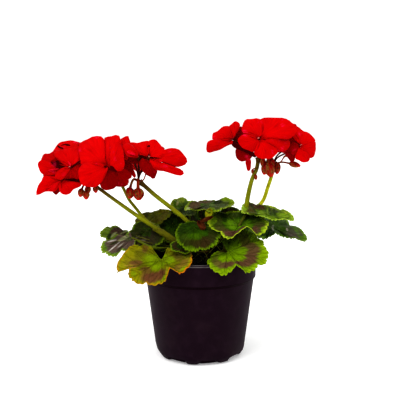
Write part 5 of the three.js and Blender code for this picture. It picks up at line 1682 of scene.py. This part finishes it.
def bud_thickness(size, neck):
    def thickness(share, turn):
        if share < neck:
            return lerp(max(0.6, 0.9 * size), 1.1 * max(0.8, size), smoothstep(0.8 * neck, neck, share))
        along = (share - neck) / (1 - neck)
        body = BUD_RADIUS * size * math.sin(math.pi * min(0.12 + 0.86 * along**0.9, 0.96)) ** 0.6
        return max(0.5 * size, body) * (1 + 0.07 * math.cos(5 * turn) * smoothstep(0.1, 0.5, along))

    return thickness


def bud_finish():
    finish = Finish("bud_skin", Roughness=0.5, Specular_IOR_Level=0.12)
    u, v = finish.uv()
    ribs = finish.streaks(u * 16.0, v * 4.0)
    spots = finish.grain(2.5, 3.0)
    tone = finish.mix(ribs.step(0.45, 0.6), paint(150, 12, 8), paint(136, 92, 34))
    tone = finish.mix((v + (spots - 0.5) * 0.3).step(0.86, 0.97), tone, paint(200, 8, 10))
    finish.feed("Base Color", finish.mix(spots.step(0.52, 0.68) * 0.7, tone, paint(50, 12, 6)))
    finish.relief(ribs, 0.3, 0.8)
    return finish


# How thick a flower stalk is along its length: the share, then the factor on its foot's or tip's radius.
STALK_FOOT = [(0, 1.2), (0.05, 1)]
STALK_TIP = [(0.9, 1), (0.95, 1.25), (0.98, 1.75), (0.992, 1.5), (1, 0.5)]
PEDICEL = [(0, 1), (0.2, 0.75), (0.7, 0.8), (0.82, 1), (0.92, 1.5), (1, 1.7)]


def make_head(head, finishes, chance):
    name, node = head["name"], "stalk_" + head["name"]
    foot, tip = head["radius"]
    swollen = between([(at, foot * k) for at, k in STALK_FOOT] + [(at, tip * k) for at, k in STALK_TIP])
    stalk = rods("flower_stalk_" + name, [smooth_line([*head["stalk"], head["hub"]], 50)], swollen, 12)
    place_piece(dress(smooth(stalk), finishes["stalk"][name]), "flower_stalk", node)

    lines = [pedicel_line(head, Vector(middle), facing(*faces)) for middle, faces, _ in FLORETS[name]]
    pedicels = rods("pedicels_" + name, lines, between(PEDICEL), 8)
    place_piece(dress(smooth(pedicels), finishes["pedicel"]), "flower_stalk", node)

    if head["buds"]:
        buds = []
        for bud in head["buds"]:
            line, neck = bud_line(head, bud)
            buds.append(rod(line, bud_thickness(bud[2], neck), 15))
        buds = close(join("buds_" + name, buds))
        place_piece(dress(smooth(buds), finishes["bud"]), "flower_stalk", node)

    make_florets(head, finishes["petals"], chance)
    make_stamens(head, chance)


def pedicel_finish():
    finish = Finish("pedicel_skin", Roughness=0.6, Specular_IOR_Level=0.05)
    u, v = finish.uv()
    ribs = finish.streaks(u * 10.0, v * 5.0)
    tone = finish.mix(ribs.step(0.3, 0.7), paint(54, 12, 8), paint(84, 34, 14))
    finish.feed("Base Color", finish.mix(v.step(0.75, 0.95), tone, paint(80, 40, 14)))
    finish.relief(ribs, 0.2, 0.6)
    return finish


STALK_SKINS = {"olive": paint(118, 122, 8), "lime": paint(172, 174, 24)}


def make_heads():
    chance = random.Random(11)
    finishes = {"stalk": {}}
    for head in HEADS:
        name, skin = head["name"], STALK_SKINS[head["skin"]]
        skin = stalk_finish("stalk_skin_" + name, skin, paint(88, 62, 14), head["hub"], head["browned"])
        finishes["stalk"][name] = skin
    finishes["pedicel"] = pedicel_finish()
    finishes["bud"] = bud_finish()
    finishes["petals"] = {name: petal_finish(name, *skin) for name, skin in PETAL_SKINS.items()}
    for head in HEADS:
        make_head(head, finishes, chance)


# ---- Studio ----


FLOOR_SIZE, FLOOR_DROP = 6, 0.4
# The lamps: the place and the size in metres, and the power in watts.
LAMPS = (((-0.5, -0.7, 1.3), 0.9, 9), ((0.9, -0.5, 0.9), 0.8, 0.6))
LAMPS_AIM = Vector((0, 0, 0.13))
# The camera that was fitted to the pot in the photo: its place, how far it looks down, and its lens.
CAMERA_PLACE = (8.2, -700, 250)
CAMERA_DOWN = 8.1
LENS, SENSOR_WIDTH = 60.4, 36


def make_studio():
    bpy.ops.mesh.primitive_plane_add(size=FLOOR_SIZE, location=(0, 0, -FLOOR_DROP * MM))
    floor = bpy.context.object
    floor.name = "floor"
    bpy.ops.object.transform_apply(location=True)
    pale, white = (0.93, 0.93, 0.93, 1), (1, 1, 1, 1)
    glow = {"Emission_Color": white, "Emission_Strength": 0.2}
    dress(floor, Finish("floor_white", Roughness=0.8, Base_Color=pale, **glow))

    world = bpy.data.worlds.new("studio")
    world.use_nodes = True
    sky = world.node_tree.nodes["Background"].inputs
    sky["Color"].default_value = white
    sky["Strength"].default_value = 0.75
    bpy.context.scene.world = world

    for place, size, power in LAMPS:
        bpy.ops.object.light_add(type="AREA", location=place)
        lamp = bpy.context.object
        lamp.data.size = size
        lamp.data.energy = power
        lamp.rotation_euler = (LAMPS_AIM - Vector(place)).to_track_quat("-Z", "Y").to_euler()

    bpy.ops.object.camera_add(location=[c * MM for c in CAMERA_PLACE])
    camera = bpy.context.object
    camera.rotation_euler = (math.radians(90 - CAMERA_DOWN), 0, 0)
    camera.data.sensor_width = SENSOR_WIDTH
    camera.data.lens = LENS
    camera.data.clip_start = 0.01
    scene = bpy.context.scene
    scene.camera = camera
    scene.view_settings.view_transform = "Standard"
    scene.view_settings.look = "High Contrast"


peat = peat_finish()
make_pot()
make_soil(peat)
make_crumbs(peat)
make_stems()
make_leaves()
make_bracts()
make_dry_stalks()
make_heads()
make_studio()

bpy.ops.object.select_all(action="DESELECT")
bpy.context.view_layer.update()
